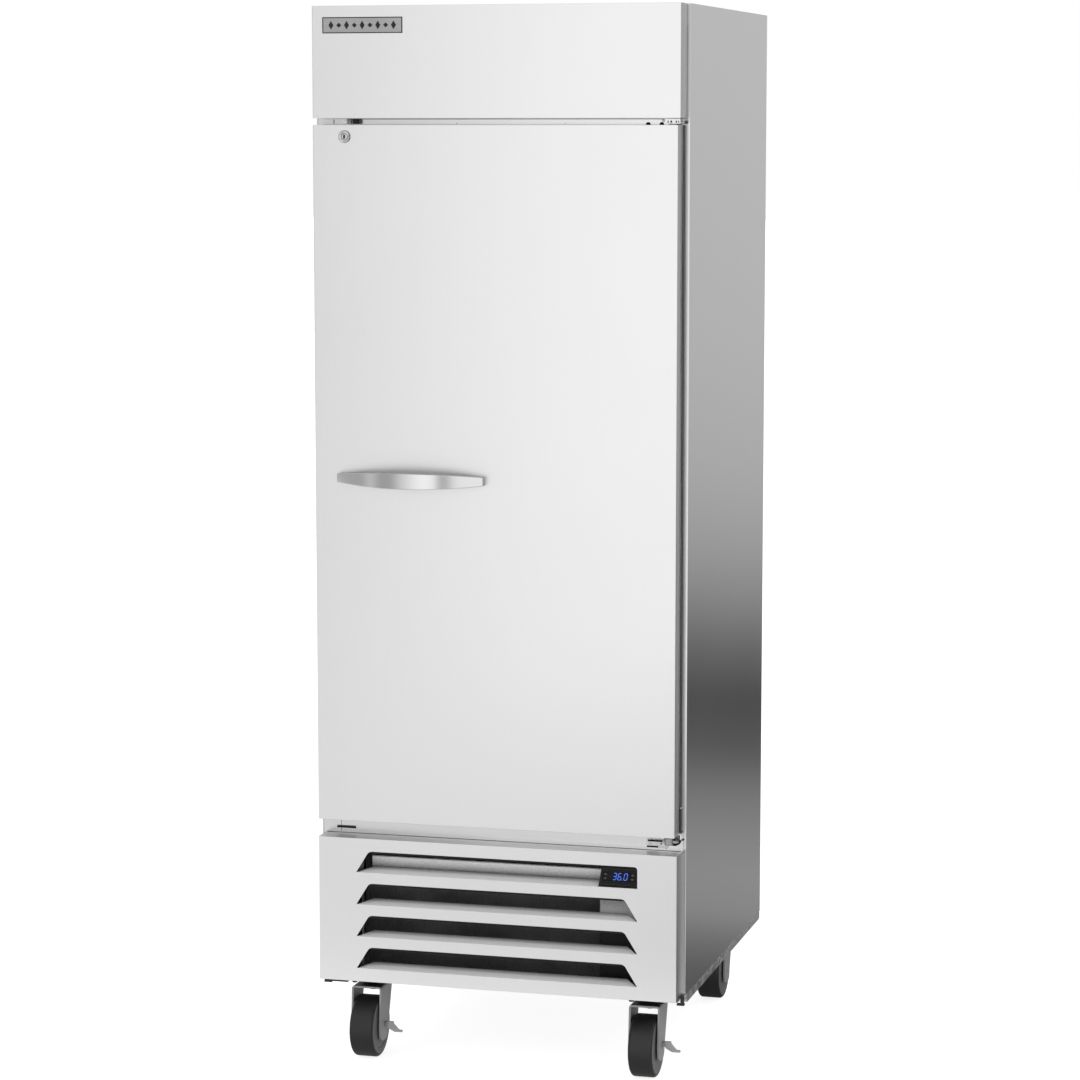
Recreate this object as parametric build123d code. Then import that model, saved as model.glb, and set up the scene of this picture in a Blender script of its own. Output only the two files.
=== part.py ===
"""Single-door reach-in refrigerator on casters, with a bottom-mounted condensing unit.

Frame: millimetres, +X to the right as seen from the front, +Y to the back, +Z up.
Origin: on the floor, under the centre of the whole bounding box, handle included.
Each function below builds one group of pieces and saves each piece as its own STEP file.
"""
import os

from build123d import *

# ---------------------------------------------------------------- driving dimensions
CABINET_W = 762.0          # 30 in body
PANEL_W = 747.0            # header, door line and grille, narrower than the body
DEPTH = 806.0              # header face to back panel
HANDLE_OUT = 56.0          # how far the handle stands out from the door face
HEIGHT = 2142.0            # floor to top

BASE_Z = 162.0             # underside of the base frame, where the casters bolt on
SIDE_Z = 181.0             # lower edge of the side panels
GRILLE_Z = (177.0, 474.0)
DOOR_Z = (510.0, 1909.0)
HEADER_Z = 1922.0

FACE_Y = HANDLE_OUT - (DEPTH + HANDLE_OUT) / 2     # front of header, door and grille
REAR_Y = FACE_Y + DEPTH
PROJECTION = 49.0                                  # header and grille stand out this far
FRAME_Y = FACE_Y + PROJECTION                      # front of the cabinet's face frame
SIDE_X = CABINET_W / 2
PANEL_X = PANEL_W / 2

SKIN = 1.0                 # outer sheet
EDGE_R = 2.5               # bent upright edges of the front panels
LINER = 0.8                # inner sheet
WALL = 57.0                # skin, foam and liner together
MOUTH_Z = (548.0, 1872.0)  # the opening that the door closes
CAVITY_TOP = 2087.0
CEILING_Z = 490.0          # roof of the machine compartment
HEADER_RAIL_Y = FRAME_Y + 56.0     # back of the insulated rail above the door opening

DOOR_X = (-PANEL_X, PANEL_X - 5.0)
DOOR_T = 40.0
DOOR_BACK = FACE_Y + DOOR_T
PIVOT = (352.0, FACE_Y + 21.0)     # door hinge axis
PIN_R = 6.0
RUN_GAP = 0.05                     # radial clearance of a running fit

LOUVRE_PITCH = 66.4
LOUVRE_LOW_Z = 205.0
LOUVRE_COUNT = 4
LOUVRE_H = 43.6
LOUVRE_HALF_LOW = 293.0
LOUVRE_HALF_HIGH = 266.0
LOUVRE_CORNER = 8.0
FLAP_DEPTH = 33.0
FLAP_TILT = 9.5            # degrees, rising towards the back

CONTROL_X = (213.0, 227.0, LOUVRE_HALF_LOW)        # slanted left side, straight right side

HANDLE_X = -170.5
HANDLE_Z = (DOOR_Z[0] + DOOR_Z[1]) / 2
HANDLE_HALF = 151.0
HANDLE_MID_H = 31.4
HANDLE_END_H = 17.2
HANDLE_END_D = 18.6

LOCK_X = -307.0
LOCK_Z = 1886.0
CAM_REACH = 31.5           # lock cam, from the lock's axis to its tip
CAM_Y = (FACE_Y + 27.5, FACE_Y + 31.5)

CASTER_X = 293.5
AXLE_FRONT_Y = FACE_Y + 83.0
AXLE_REAR_Y = FACE_Y + 724.0
CASTER_TRAIL = 32.0        # swivel axis behind the axle
WHEEL_R = 63.5             # 5 in wheel
WHEEL_W = 50.0
FORK_GAP = 56.0
FORK_LEG = 4.0
FORK_EYE_R = 25.5          # rounded lower end of a fork leg
CROWN_Y = (-19.0, 56.0)    # fork crown, from the axle
AXLE_R = 5.0
BRAKE_Z = 68.0             # hinge pin of a brake lever
RACE_R = 24.0              # swivel race between the caster plate and the fork

SHELF_LEVELS = {"lower": 850.0, "middle": 1180.0, "upper": 1510.0}
SHELF_X = 305.0
SHELF_Y = (-250.0, 340.0)
PILASTER_Y = (-190.0, 280.0)
PILASTER_W = 25.0
PILASTER_T = 9.0

EVAP_Z = (1900.0, 2085.0)
EVAP_Y = (-150.0, 330.0)
EVAP_X = 300.0
EVAP_FAN_R = 74.0
COND_FAN_R = 112.0
COND_FAN_X = -45.0
COND_FAN_Z = 318.0


# ---------------------------------------------------------------- helpers
def block(x, y, z):
    """Box between two corners, each axis given as (low, high)."""
    size = [high - low for low, high in (x, y, z)]
    middle = [(high + low) / 2 for low, high in (x, y, z)]
    return Pos(*middle) * Box(*size)


def both(reach):
    """A span centred on zero."""
    return (-reach, reach)


def rod(axis, start, length, radius):
    """Cylinder from a start point along +X, +Y or +Z."""
    turn = {"x": (0, 90, 0), "y": (-90, 0, 0), "z": (0, 0, 0)}[axis]
    ends = (Align.CENTER, Align.CENTER, Align.MIN)
    return Pos(*start) * Rot(*turn) * Cylinder(radius, length, align=ends)


def hexagon(axis, start, length, across_flats):
    """Hexagonal prism, for bolt heads and nuts."""
    turn = {"x": (0, 90, 0), "y": (-90, 0, 0), "z": (0, 0, 0)}[axis]
    outline = RegularPolygon(across_flats / 2, 6, major_radius=False)
    return Pos(*start) * Rot(*turn) * extrude(outline, length)


def pan_screw(axis_sign, start, radius=4.0, height=2.2):
    """Low round screw head standing on a face that looks along -Y or +Y."""
    x, y, z = start
    low = y - height if axis_sign < 0 else y
    return rod("y", (x, low, z), height, radius)


def tube_path(points, bend, radius):
    """Round tube along straight runs joined by tangent arcs."""
    route = FilletPolyline(*points, radius=bend)
    section = Plane(origin=route @ 0, z_dir=route % 0) * Circle(radius)
    return sweep(section, path=route)


def save(name, shape):
    """Write one node; several separate solids become one compound."""
    items = shape if isinstance(shape, list) else [shape]
    solids = [solid for item in items for solid in item.solids()]
    body = solids[0] if len(solids) == 1 else Compound(children=solids)
    body.label = name
    export_step(body, os.path.join("parts", name + ".step"))


# ---------------------------------------------------------------- cabinet body
def cavity(inset):
    """Inner space of the cabinet, shrunk by inset, open through the front."""
    side = SIDE_X - WALL + LINER - inset
    back = REAR_Y - WALL + LINER - inset
    front = FRAME_Y - 1.0 if inset else FRAME_Y + SKIN
    low = MOUTH_Z[0] + inset
    room = block(both(side), (HEADER_RAIL_Y + inset, back), (low, CAVITY_TOP - inset))
    neck_y = (front, HEADER_RAIL_Y + LINER + 1.0)
    return room + block(both(side), neck_y, (low, MOUTH_Z[1] - inset))


def cabinet_shell():
    """Outer skins, face frame, insulation and stainless liner."""
    inner_x = SIDE_X - SKIN
    for name, low in (("side_panel_left", -SIDE_X), ("side_panel_right", inner_x)):
        save(name, block((low, low + SKIN), (FRAME_Y, REAR_Y), (SIDE_Z, HEIGHT)))
    save("top_panel", block(both(inner_x), (FRAME_Y, REAR_Y), (HEIGHT - SKIN, HEIGHT)))
    save("back_panel", block(both(inner_x), (REAR_Y - SKIN, REAR_Y), (CEILING_Z, HEIGHT - SKIN)))

    stile = 26.0
    rail_low = 470.0
    mouth_x = SIDE_X - WALL
    through = (FRAME_Y - 1, FRAME_Y + 9)
    frame = block(both(inner_x), (FRAME_Y, FRAME_Y + SKIN), (SIDE_Z, HEIGHT - SKIN))
    frame -= block(both(mouth_x), through, MOUTH_Z)
    frame -= block(both(inner_x - stile), through, (SIDE_Z + 20, rail_low))
    spare_hinge_slot = block((-349, -309), through, (485, 489))
    save("front_frame", frame - spare_hinge_slot)

    foam = block(both(inner_x), (FRAME_Y + SKIN, REAR_Y - SKIN), (CEILING_Z, HEIGHT - SKIN))
    save("cabinet_foam", foam - cavity(0.0))
    save("inner_liner", cavity(0.0) - cavity(LINER))


def base_frame():
    """Galvanised base pan with two caster rails and the caster plates."""
    wide = SIDE_X - 1.0
    front = FACE_Y + 70.0
    sheet = 2.0
    pan = block(both(wide), (front, REAR_Y), (BASE_Z, SIDE_Z))
    pan -= block(both(wide - sheet), (front + sheet, REAR_Y - sheet), (BASE_Z - 1, SIDE_Z - sheet))
    for swivel_y in (AXLE_FRONT_Y + CASTER_TRAIL, AXLE_REAR_Y + CASTER_TRAIL):
        y_low = max(swivel_y - 50, front + sheet)
        y_high = min(swivel_y + 50, REAR_Y - sheet)
        rail = block(both(wide - sheet), (y_low, y_high), (BASE_Z, SIDE_Z - sheet))
        rail -= block(both(wide), (y_low + sheet, y_high - sheet), (BASE_Z + 4, SIDE_Z - 4))
        pan += rail
    save("base_frame", pan)

    plates = []
    for x in (-CASTER_X, CASTER_X):
        for y in (AXLE_FRONT_Y + CASTER_TRAIL, AXLE_REAR_Y + CASTER_TRAIL):
            plate = block((x - 40, x + 40), (y - 44, y + 44), (BASE_Z - 4, BASE_Z))
            plate = fillet(plate.edges().filter_by(Axis.Z), 8)
            race = rod("z", (x, y, BASE_Z - 12), 9, RACE_R)
            kingpin = rod("z", (x, y, BASE_Z - 29), 20, 6)
            for sx in (-1, 1):
                for sy in (-1, 1):
                    plate += hexagon("z", (x + sx * 31, y + sy * 34, BASE_Z - 9), 5.5, 10)
            plates.append(plate + race + kingpin)
    save("caster_plates", plates)


def header():
    """Header panel above the door and its plain nameplate."""
    panel = block(both(PANEL_X), (FACE_Y, FRAME_Y), (HEADER_Z, HEIGHT))
    panel = fillet(panel.edges().filter_by(Axis.Z).group_by(Axis.Y)[0], EDGE_R)
    inner_z = (HEADER_Z + SKIN, HEIGHT - SKIN)
    panel -= block(both(PANEL_X - SKIN), (FACE_Y + SKIN, FRAME_Y + 1), inner_z)
    save("header_panel", panel)
    plate = block((-351, -186), (FACE_Y - 1.2, FACE_Y), (2088, 2119.5))
    save("nameplate", fillet(plate.edges().filter_by(Axis.Y), 3))


# ---------------------------------------------------------------- front grille
def louvre_outline(right_high, right_low):
    """Trapezoid with two rounded upper corners, drawn in X and Z."""
    points = [
        (-LOUVRE_HALF_LOW, 0),
        (right_low, 0),
        (right_high, LOUVRE_H),
        (-LOUVRE_HALF_HIGH, LOUVRE_H),
    ]
    shape = make_face(Polyline(*points, close=True))
    return fillet(shape.vertices().group_by(Axis.Y)[-1], LOUVRE_CORNER)


def front_grille():
    """Louvred lower panel; a flap slopes inward from the lower edge of each louvre."""
    sheet = 1.5
    panel = block(both(PANEL_X), (FACE_Y, FRAME_Y), GRILLE_Z)
    panel = fillet(panel.edges().filter_by(Axis.Z).group_by(Axis.Y)[0], EDGE_R)
    inner_z = (GRILLE_Z[0] + sheet, GRILLE_Z[1] - sheet)
    panel -= block(both(PANEL_X - sheet), (FACE_Y + sheet, FRAME_Y + 1), inner_z)
    flaps = []
    for index in range(LOUVRE_COUNT):
        low = LOUVRE_LOW_Z + index * LOUVRE_PITCH
        top_one = index == LOUVRE_COUNT - 1
        right_high = LOUVRE_HALF_LOW if top_one else LOUVRE_HALF_HIGH
        outline = Plane.XZ * louvre_outline(right_high, LOUVRE_HALF_LOW)
        panel -= Pos(0, FACE_Y + 4, low) * extrude(outline, 8)
        tip_high = CONTROL_X[0] - 14 if top_one else LOUVRE_HALF_HIGH
        tip_low = CONTROL_X[0] - 4 if top_one else LOUVRE_HALF_LOW
        flap_points = [
            (-LOUVRE_HALF_LOW, 0),
            (tip_low, 0),
            (tip_high, FLAP_DEPTH),
            (-LOUVRE_HALF_HIGH, FLAP_DEPTH),
        ]
        flap = extrude(make_face(Polyline(*flap_points, close=True)), sheet)
        flaps.append(Pos(0, FACE_Y + sheet, low - sheet) * Rot(FLAP_TILT, 0, 0) * flap)
    save("front_grille", [panel] + [flap - panel for flap in flaps])


def controller():
    """Digital thermostat at the right end of the top louvre, with four keys."""
    low = LOUVRE_LOW_Z + (LOUVRE_COUNT - 1) * LOUVRE_PITCH
    high = low + LOUVRE_H
    face = FACE_Y + 1.0
    points = [
        (CONTROL_X[0], low + 0.4),
        (CONTROL_X[2] - 0.4, low + 0.4),
        (CONTROL_X[2] - 0.4, high - 0.4),
        (CONTROL_X[1], high - 0.4),
    ]
    front = make_face(Polyline(*points, close=True))
    corner = front.vertices().sort_by(Axis.X)[-2:].sort_by(Axis.Y)[-1]
    front = fillet(corner, LOUVRE_CORNER - 0.4)
    housing = Pos(0, face + 34, 0) * extrude(Plane.XZ * front, 34)
    window = (222.0, 289.0)
    window_z = (low + 12.5, low + 31.5)
    recess = 2.5
    housing -= block(window, (face - 1, face + recess), window_z)
    keys = {
        "key_set": (226.8, low + 17.6),
        "key_defrost": (228.0, low + 26.2),
        "key_down": (282.4, low + 17.6),
        "key_up": (283.6, low + 26.2),
    }
    travel = 0.8
    for name, (x, z) in keys.items():
        cap = extrude(Ellipse(3.3, 1.9), recess - 0.6 + travel + 0.7)
        key = Pos(x, face + 0.6, z) * Rot(-90, 0, 0) * cap
        pocket = extrude(Ellipse(3.6, 2.2), 4.0)
        housing -= Pos(x, face + recess - 0.1, z) * Rot(-90, 0, 0) * pocket
        save(name, key)
    save("control_housing", housing)
    lens_z = (window_z[0] + 0.6, window_z[1] - 0.6)
    save("control_display", block((234.0, 276.5), (face + recess - 0.9, face + recess), lens_z))


# ---------------------------------------------------------------- door
def plug_block(inset, start_y):
    """Raised panel on the inside of the door, shrunk by inset, with sloped edges."""
    rise = 12.0
    x = (-305 + inset, 302 - inset)
    z = (566 + inset, 1854 - inset)
    raised = block(x, (start_y, DOOR_BACK + rise - inset), z)
    return chamfer(raised.faces().sort_by(Axis.Y)[-1].edges(), 8)


def door():
    """Foamed door: outer skin, foam, inner liner with a shallow plug, and gasket."""
    leaf = block(DOOR_X, (FACE_Y, DOOR_BACK - SKIN), DOOR_Z)
    leaf = fillet(leaf.edges().filter_by(Axis.Z).group_by(Axis.Y)[0], EDGE_R)
    core_x = (DOOR_X[0] + SKIN, DOOR_X[1] - SKIN)
    core_z = (DOOR_Z[0] + SKIN, DOOR_Z[1] - SKIN)
    core = block(core_x, (FACE_Y + SKIN, DOOR_BACK - SKIN), core_z)
    skin = leaf - block(core_x, (FACE_Y + SKIN, DOOR_BACK), core_z)

    lock_bore = rod("y", (LOCK_X, FACE_Y - 1, LOCK_Z), 30, 10)
    cam_y = (CAM_Y[0] - 1.5, CAM_Y[1] + 4.0)
    cam_x = (LOCK_X - CAM_REACH - 2, LOCK_X + 12)
    skin -= lock_bore
    skin -= block((LOCK_X - 28, LOCK_X + 4.5), cam_y, (DOOR_Z[1] - 3, DOOR_Z[1] + 1))
    core -= lock_bore
    core -= block(cam_x, cam_y, (LOCK_Z - 14, DOOR_Z[1]))

    bush_r = 12.0
    bush_h = 34.0
    bushes = []
    for z in (DOOR_Z[0] + SKIN, DOOR_Z[1] - SKIN - bush_h):
        well = rod("z", (*PIVOT, z), bush_h, bush_r)
        core -= well
        bushes.append(well - rod("z", (*PIVOT, z - 1), bush_h + 2, PIN_R + RUN_GAP))
    for z in (DOOR_Z[0] - 1, DOOR_Z[1] - 2):
        skin -= rod("z", (*PIVOT, z), 3, PIN_R + 1)
    inner_plug = plug_block(SKIN, DOOR_BACK - SKIN)
    save("door_skin", skin)
    save("door_foam", core + inner_plug)
    save("door_bushes", bushes)

    liner = block(DOOR_X, (DOOR_BACK - SKIN, DOOR_BACK), DOOR_Z)
    save("door_liner", liner + plug_block(0.0, DOOR_BACK) - inner_plug)

    gasket_y = (DOOR_BACK, FRAME_Y - 0.3)
    gasket = block((-352, 349), gasket_y, (522, 1897))
    gasket -= block((-334, 331), (DOOR_BACK - 1, FRAME_Y), (540, 1879))
    save("door_gasket", gasket)


def handle():
    """Arched pull handle, tall in the middle and slim at its ends."""
    end = HANDLE_HALF
    out = HANDLE_OUT
    outer = Spline(
        (-end + 30, -HANDLE_END_D - 2.0),
        (-62, -out + 13.0),
        (0, -out),
        (62, -out + 13.0),
        (end - 30, -HANDLE_END_D - 2.0),
        tangents=((1, -0.12), (1, 0.12)),
    )
    left = Polyline(outer @ 0, (-end, -HANDLE_END_D), (-end, 0), (-end + 46, 0))
    right = Polyline(outer @ 1, (end, -HANDLE_END_D), (end, 0), (end - 46, 0))
    inner = Spline(left @ 1, (-56, -out + 31), (0, -out + 17), (56, -out + 31), right @ 1)
    plan = extrude(make_face([outer, left, inner, right]), HANDLE_MID_H / 2, both=True)

    mid = HANDLE_MID_H / 2
    tip = HANDLE_END_H / 2
    upper = Spline((-end, tip), (0, mid), (end, tip), tangents=((1, 0.17), (1, -0.17)))
    lower = Spline((-end, -tip), (0, -mid), (end, -tip), tangents=((1, -0.17), (1, 0.17)))
    sides = [Line(upper @ 0, lower @ 0), Line(upper @ 1, lower @ 1)]
    front = extrude(Plane.XZ * make_face([upper, lower, *sides]), 80, both=True)
    bar = plan & front
    save("door_handle", Pos(HANDLE_X, FACE_Y, HANDLE_Z) * bar)


def lock():
    """Cylinder lock whose cam turns up behind the strike above the door."""
    face = FACE_Y
    barrel = rod("y", (LOCK_X, face, LOCK_Z), 24, 9.9)
    bezel = rod("y", (LOCK_X, face - 3.5, LOCK_Z), 3.5, 12)
    bezel = chamfer(bezel.edges().group_by(Axis.Y)[0], 1.0)
    plug_r = 7.0
    bezel = bezel + barrel - rod("y", (LOCK_X, face - 4, LOCK_Z), 40, plug_r + RUN_GAP)
    save("lock_barrel", bezel)

    plug = rod("y", (LOCK_X, face - 2.6, LOCK_Z), CAM_Y[0] - face + 2.6, plug_r)
    plug -= block((LOCK_X - 1.0, LOCK_X + 1.0), (face - 3, face + 8), (LOCK_Z - 4.2, LOCK_Z + 4.2))
    save("lock_plug", plug)

    cam = block((LOCK_X - CAM_REACH, LOCK_X), CAM_Y, (LOCK_Z - 11, LOCK_Z + 3))
    cam += rod("y", (LOCK_X, CAM_Y[0], LOCK_Z), CAM_Y[1] - CAM_Y[0], 9)
    cam &= rod("y", (LOCK_X, CAM_Y[0], LOCK_Z), CAM_Y[1] - CAM_Y[0], CAM_REACH)
    cam += hexagon("y", (LOCK_X, CAM_Y[1], LOCK_Z), 3, 8)
    save("lock_cam", cam)

    strike_x = (-325, -309)
    strike_z = (1911, 1921)
    strike = block(strike_x, (face + 22, FRAME_Y), (1919, 1921))
    strike += block(strike_x, (face + 22, face + 24), strike_z)
    strike += block(strike_x, (FRAME_Y - 2, FRAME_Y), strike_z)
    save("lock_strike", strike)
    save("door_switch", block((-302, -288), (FRAME_Y - 13, FRAME_Y), (1911, 1921)))


def hinges():
    """Two brackets with pins on the face frame."""
    x, y = PIVOT
    arm = 5.0
    low = block((300, 368), (FRAME_Y - 3, FRAME_Y), (479, 507))
    low += block((339, 368), (y, FRAME_Y), (496, 496 + arm))
    low += rod("z", (x, y, 492), 14, 12)
    low += rod("z", (x, y, 500), 40, PIN_R)
    save("bottom_hinge", low)
    high = block((300, 372), (FRAME_Y - 3, FRAME_Y), (1914, 1921))
    high += block((320, 368), (y, FRAME_Y), (1915, 1915 + arm))
    high += rod("z", (x, y, 1911), 10, 12)
    high += rod("z", (x, y, 1879), 33, PIN_R)
    save("top_hinge", high)

    heads = []
    for screw_x in (309, 325):
        heads.append(pan_screw(-1, (screw_x, FRAME_Y - 3, 500)))
        heads.append(pan_screw(-1, (screw_x, FRAME_Y - 3, 486)))
    for screw_x in (-300, 300):
        for screw_z in (230, 455):
            heads.append(pan_screw(1, (screw_x, REAR_Y - 8.5, screw_z), height=2.0))
    save("panel_screws", heads)


# ---------------------------------------------------------------- cabinet interior
def shelves():
    """Shelf uprights, clips and three lift-off wire shelves."""
    wall_x = SIDE_X - WALL
    rim_r = 4.0
    rest_gap = 0.3
    uprights = []
    clips = []
    for side in (-1, 1):
        for y in PILASTER_Y:
            face_x = sorted((side * wall_x, side * (wall_x - PILASTER_T)))
            upright = block(face_x, (y, y + PILASTER_W), (570, 1860))
            hollow_x = sorted((side * wall_x, side * (wall_x - PILASTER_T + 1.5)))
            uprights.append(upright - block(hollow_x, (y + 1.5, y + PILASTER_W - 1.5), (569, 1861)))
            for z in SHELF_LEVELS.values():
                reach = sorted((side * (wall_x - PILASTER_T), side * (wall_x - PILASTER_T - 22)))
                clips.append(block(reach, (y + 4, y + 21), (z - 12, z - rim_r - rest_gap)))
    save("shelf_uprights", uprights)
    save("shelf_clips", clips)

    wire_r = 2.0
    pitch = 25.0
    for name, z in SHELF_LEVELS.items():
        shelf = None
        for y in SHELF_Y:
            bar = rod("x", (-SHELF_X, y, z), 2 * SHELF_X, rim_r)
            shelf = bar if shelf is None else shelf + bar
        y_mid = (SHELF_Y[0] + SHELF_Y[1]) / 2
        for y in (y_mid - 110, y_mid + 110):
            shelf += rod("x", (-SHELF_X + rim_r, y, z - 1), 2 * (SHELF_X - rim_r), 3.0)
        for x in (-SHELF_X + rim_r, SHELF_X - rim_r):
            shelf += rod("y", (x, SHELF_Y[0], z), SHELF_Y[1] - SHELF_Y[0], rim_r)
        count = int(2 * SHELF_X / pitch)
        wires = []
        for step in range(count):
            x = (step - (count - 1) / 2) * pitch
            wires.append(rod("y", (x, SHELF_Y[0], z + 1.2), SHELF_Y[1] - SHELF_Y[0], wire_r))
        save(name + "_shelf", shelf + wires)


def fan(hub_r, tip_r, blades, depth):
    """Axial fan rotor about +Y with its hub's front at Y = 0."""
    rotor = rod("y", (0, 0, 0), depth, hub_r)
    blade_pitch = 28
    blade = block((hub_r - 3, tip_r), (-1, 1), both(tip_r * 0.30))
    blade = Pos(0, depth / 2, 0) * Rot(blade_pitch, 0, 0) * blade
    for step in range(blades):
        rotor += Rot(0, step * 360 / blades, 0) * blade
    rotor &= rod("y", (0, -60, 0), 150, tip_r)
    return rotor + rod("y", (0, depth - 1, 0), 7.5, 4)


def fan_motor(x, y, z, can, reach, mount_y):
    """Motor can (radius, length) from y on, held by a strap bolted on at mount_y."""
    strap_t = 3.0
    strap_z = (z - 9, z + 9)
    strap_y = y + 20.0
    motor = rod("y", (x, y, z), can[1], can[0])
    motor += block((x - reach, x + reach), (strap_y - strap_t, strap_y), strap_z)
    for side in (-1, 1):
        leg_x = sorted((x + side * reach, x + side * (reach + strap_t)))
        motor += block(leg_x, (mount_y, strap_y), strap_z)
    return motor


def evaporator():
    """Ceiling-hung evaporator: cover, coil and fan."""
    z_mid = (EVAP_Z[0] + EVAP_Z[1]) / 2 - 4
    sheet = 1.2
    ceiling = CAVITY_TOP - LINER
    cover = block(both(EVAP_X), EVAP_Y, (EVAP_Z[0], ceiling))
    inner_y = (EVAP_Y[0] + sheet, EVAP_Y[1] - sheet)
    cover -= block(both(EVAP_X - sheet), inner_y, (EVAP_Z[0] + sheet, ceiling + 1))
    cover -= rod("y", (0, EVAP_Y[0] - 1, z_mid), 6, EVAP_FAN_R + 4)
    for x in range(-240, 241, 60):
        slot_y = (EVAP_Y[1] - 60, EVAP_Y[1] - 30)
        cover -= block((x - 22, x + 22), slot_y, (EVAP_Z[0] - 1, EVAP_Z[0] + 3))
    save("evaporator_cover", cover)

    fins = [block((x - 0.4, x + 0.4), (60, 230), (1925, 2060)) for x in range(-240, 241, 16)]
    tubes = [rod("x", (-252, y, z), 504, 5) for y in (90, 145, 200) for z in (1950, 1992, 2034)]
    save("evaporator_coil", fins[0] + fins[1:] + tubes)
    save("evaporator_fan", Pos(0, EVAP_Y[0] + 12, z_mid) * fan(20, EVAP_FAN_R, 5, 26))

    evaporator_motor = fan_motor(0, EVAP_Y[0] + 45, z_mid, (34, 54), 80, EVAP_Y[0] + sheet)
    condenser_motor = fan_motor(COND_FAN_X, -190, COND_FAN_Z, (38, 64), 128, -236)
    save("fan_motors", [evaporator_motor, condenser_motor])
    wall_x = SIDE_X - WALL
    save("interior_lamp", block((-wall_x, -wall_x + 12), (-262, -244), (700, 1720)))


# ---------------------------------------------------------------- machine compartment
def machine():
    """Condensing unit behind the grille and the rear guard."""
    coil_x = (-300, 205)
    coil_z = (190, 432)
    coil_y = (-306, -256)
    fin_x = range(coil_x[0] + 8, coil_x[1] - 4, 14)
    fins = [block((x - 0.6, x + 0.6), coil_y, coil_z) for x in fin_x]
    tubes = [
        rod("x", (coil_x[0], y, z), coil_x[1] - coil_x[0], 4.5)
        for y in (-292, -270)
        for z in range(coil_z[0] + 16, coil_z[1] - 8, 30)
    ]
    end_z = (SIDE_Z, coil_z[1] + 4)
    end_plates = [block((x, x + 2), coil_y, end_z) for x in (coil_x[0], coil_x[1] - 2)]
    save("condenser_coil", fins[0] + fins[1:] + end_plates + tubes)

    shroud = block(coil_x, (-256, -236), end_z)
    shroud -= block((coil_x[0] + 2, coil_x[1] - 2), (-257, -238), (end_z[0] + 2, end_z[1] - 2))
    shroud -= rod("y", (COND_FAN_X, -260, COND_FAN_Z), 40, COND_FAN_R + 3)
    save("condenser_shroud", shroud)
    save("condenser_fan", Pos(COND_FAN_X, -224, COND_FAN_Z) * fan(26, COND_FAN_R, 5, 27))

    pot_x = -150
    pot_y = 90
    pot_r = 84
    pot_top = SIDE_Z + 196
    pot = rod("z", (pot_x, pot_y, SIDE_Z + 26), 170, pot_r)
    pot = fillet(pot.edges().filter_by(GeomType.CIRCLE), 36)
    foot = block((pot_x - 90, pot_x + 90), (pot_y - 90, pot_y + 90), (SIDE_Z + 14, SIDE_Z + 18))
    pot += fillet(foot.edges().filter_by(Axis.Z), 14)
    pot += rod("z", (pot_x, pot_y, SIDE_Z + 18), 12, 52)
    for sx in (-1, 1):
        for sy in (-1, 1):
            pot += rod("z", (pot_x + sx * 74, pot_y + sy * 74, SIDE_Z), 14, 11)
    relay_box = block((pot_x + pot_r, pot_x + 100), (pot_y - 24, pot_y + 24), (SIDE_Z + 60, SIDE_Z + 120))
    save("compressor", pot + relay_box)

    pan = block((60, 340), (120, 400), (SIDE_Z, SIDE_Z + 48))
    pan -= block((62, 338), (122, 398), (SIDE_Z + 2, SIDE_Z + 49))
    save("drain_pan", pan)

    run_z = coil_z[0] + 16 + 30 * 7
    out_y = -270
    run_x = coil_x[1] + 25
    discharge = [
        (pot_x, pot_y, pot_top),
        (pot_x, pot_y, run_z),
        (pot_x, -180, run_z),
        (run_x, -180, run_z),
        (run_x, out_y, run_z),
        (coil_x[1], out_y, run_z),
    ]
    suction_x = pot_x - 120
    suction = [
        (pot_x - pot_r, pot_y, 330),
        (suction_x, pot_y, 330),
        (suction_x, 330, 330),
        (suction_x, 330, CEILING_Z),
    ]
    liquid_z = coil_z[0] + 16
    liquid = [(coil_x[1], -292, liquid_z), (run_x, -292, liquid_z), (run_x, 5, liquid_z)]
    capillary = [(run_x, 90, liquid_z), (run_x, 105, liquid_z), (run_x, 105, CEILING_Z)]
    drier = rod("y", (run_x, 0, liquid_z), 95, 12)
    drier = chamfer(drier.edges().filter_by(GeomType.CIRCLE), 4)
    bend = 10
    high_side = tube_path(liquid, bend, 4) + drier + tube_path(capillary, bend, 2.5)
    save("refrigerant_lines", [tube_path(discharge, bend, 4), tube_path(suction, bend, 5), high_side])

    guard = block(both(SIDE_X - SKIN), (REAR_Y - 10, REAR_Y - 8.5), (SIDE_Z, CEILING_Z))
    for row in range(9):
        for column in range(12):
            x = -275 + column * 50
            z = 235 + row * 24
            guard -= block((x - 19, x + 19), (REAR_Y - 12, REAR_Y - 6), (z - 4, z + 4))
    save("rear_guard", guard)
    gland_x = 330
    gland_z = 205
    gland = rod("y", (gland_x, REAR_Y - 8.5, gland_z), 8.5, 14)
    gland += rod("y", (gland_x, REAR_Y - 24, gland_z), 14, 11)
    gland -= rod("y", (gland_x, REAR_Y - 30, gland_z), 40, 5)
    save("cord_gland", gland)


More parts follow.
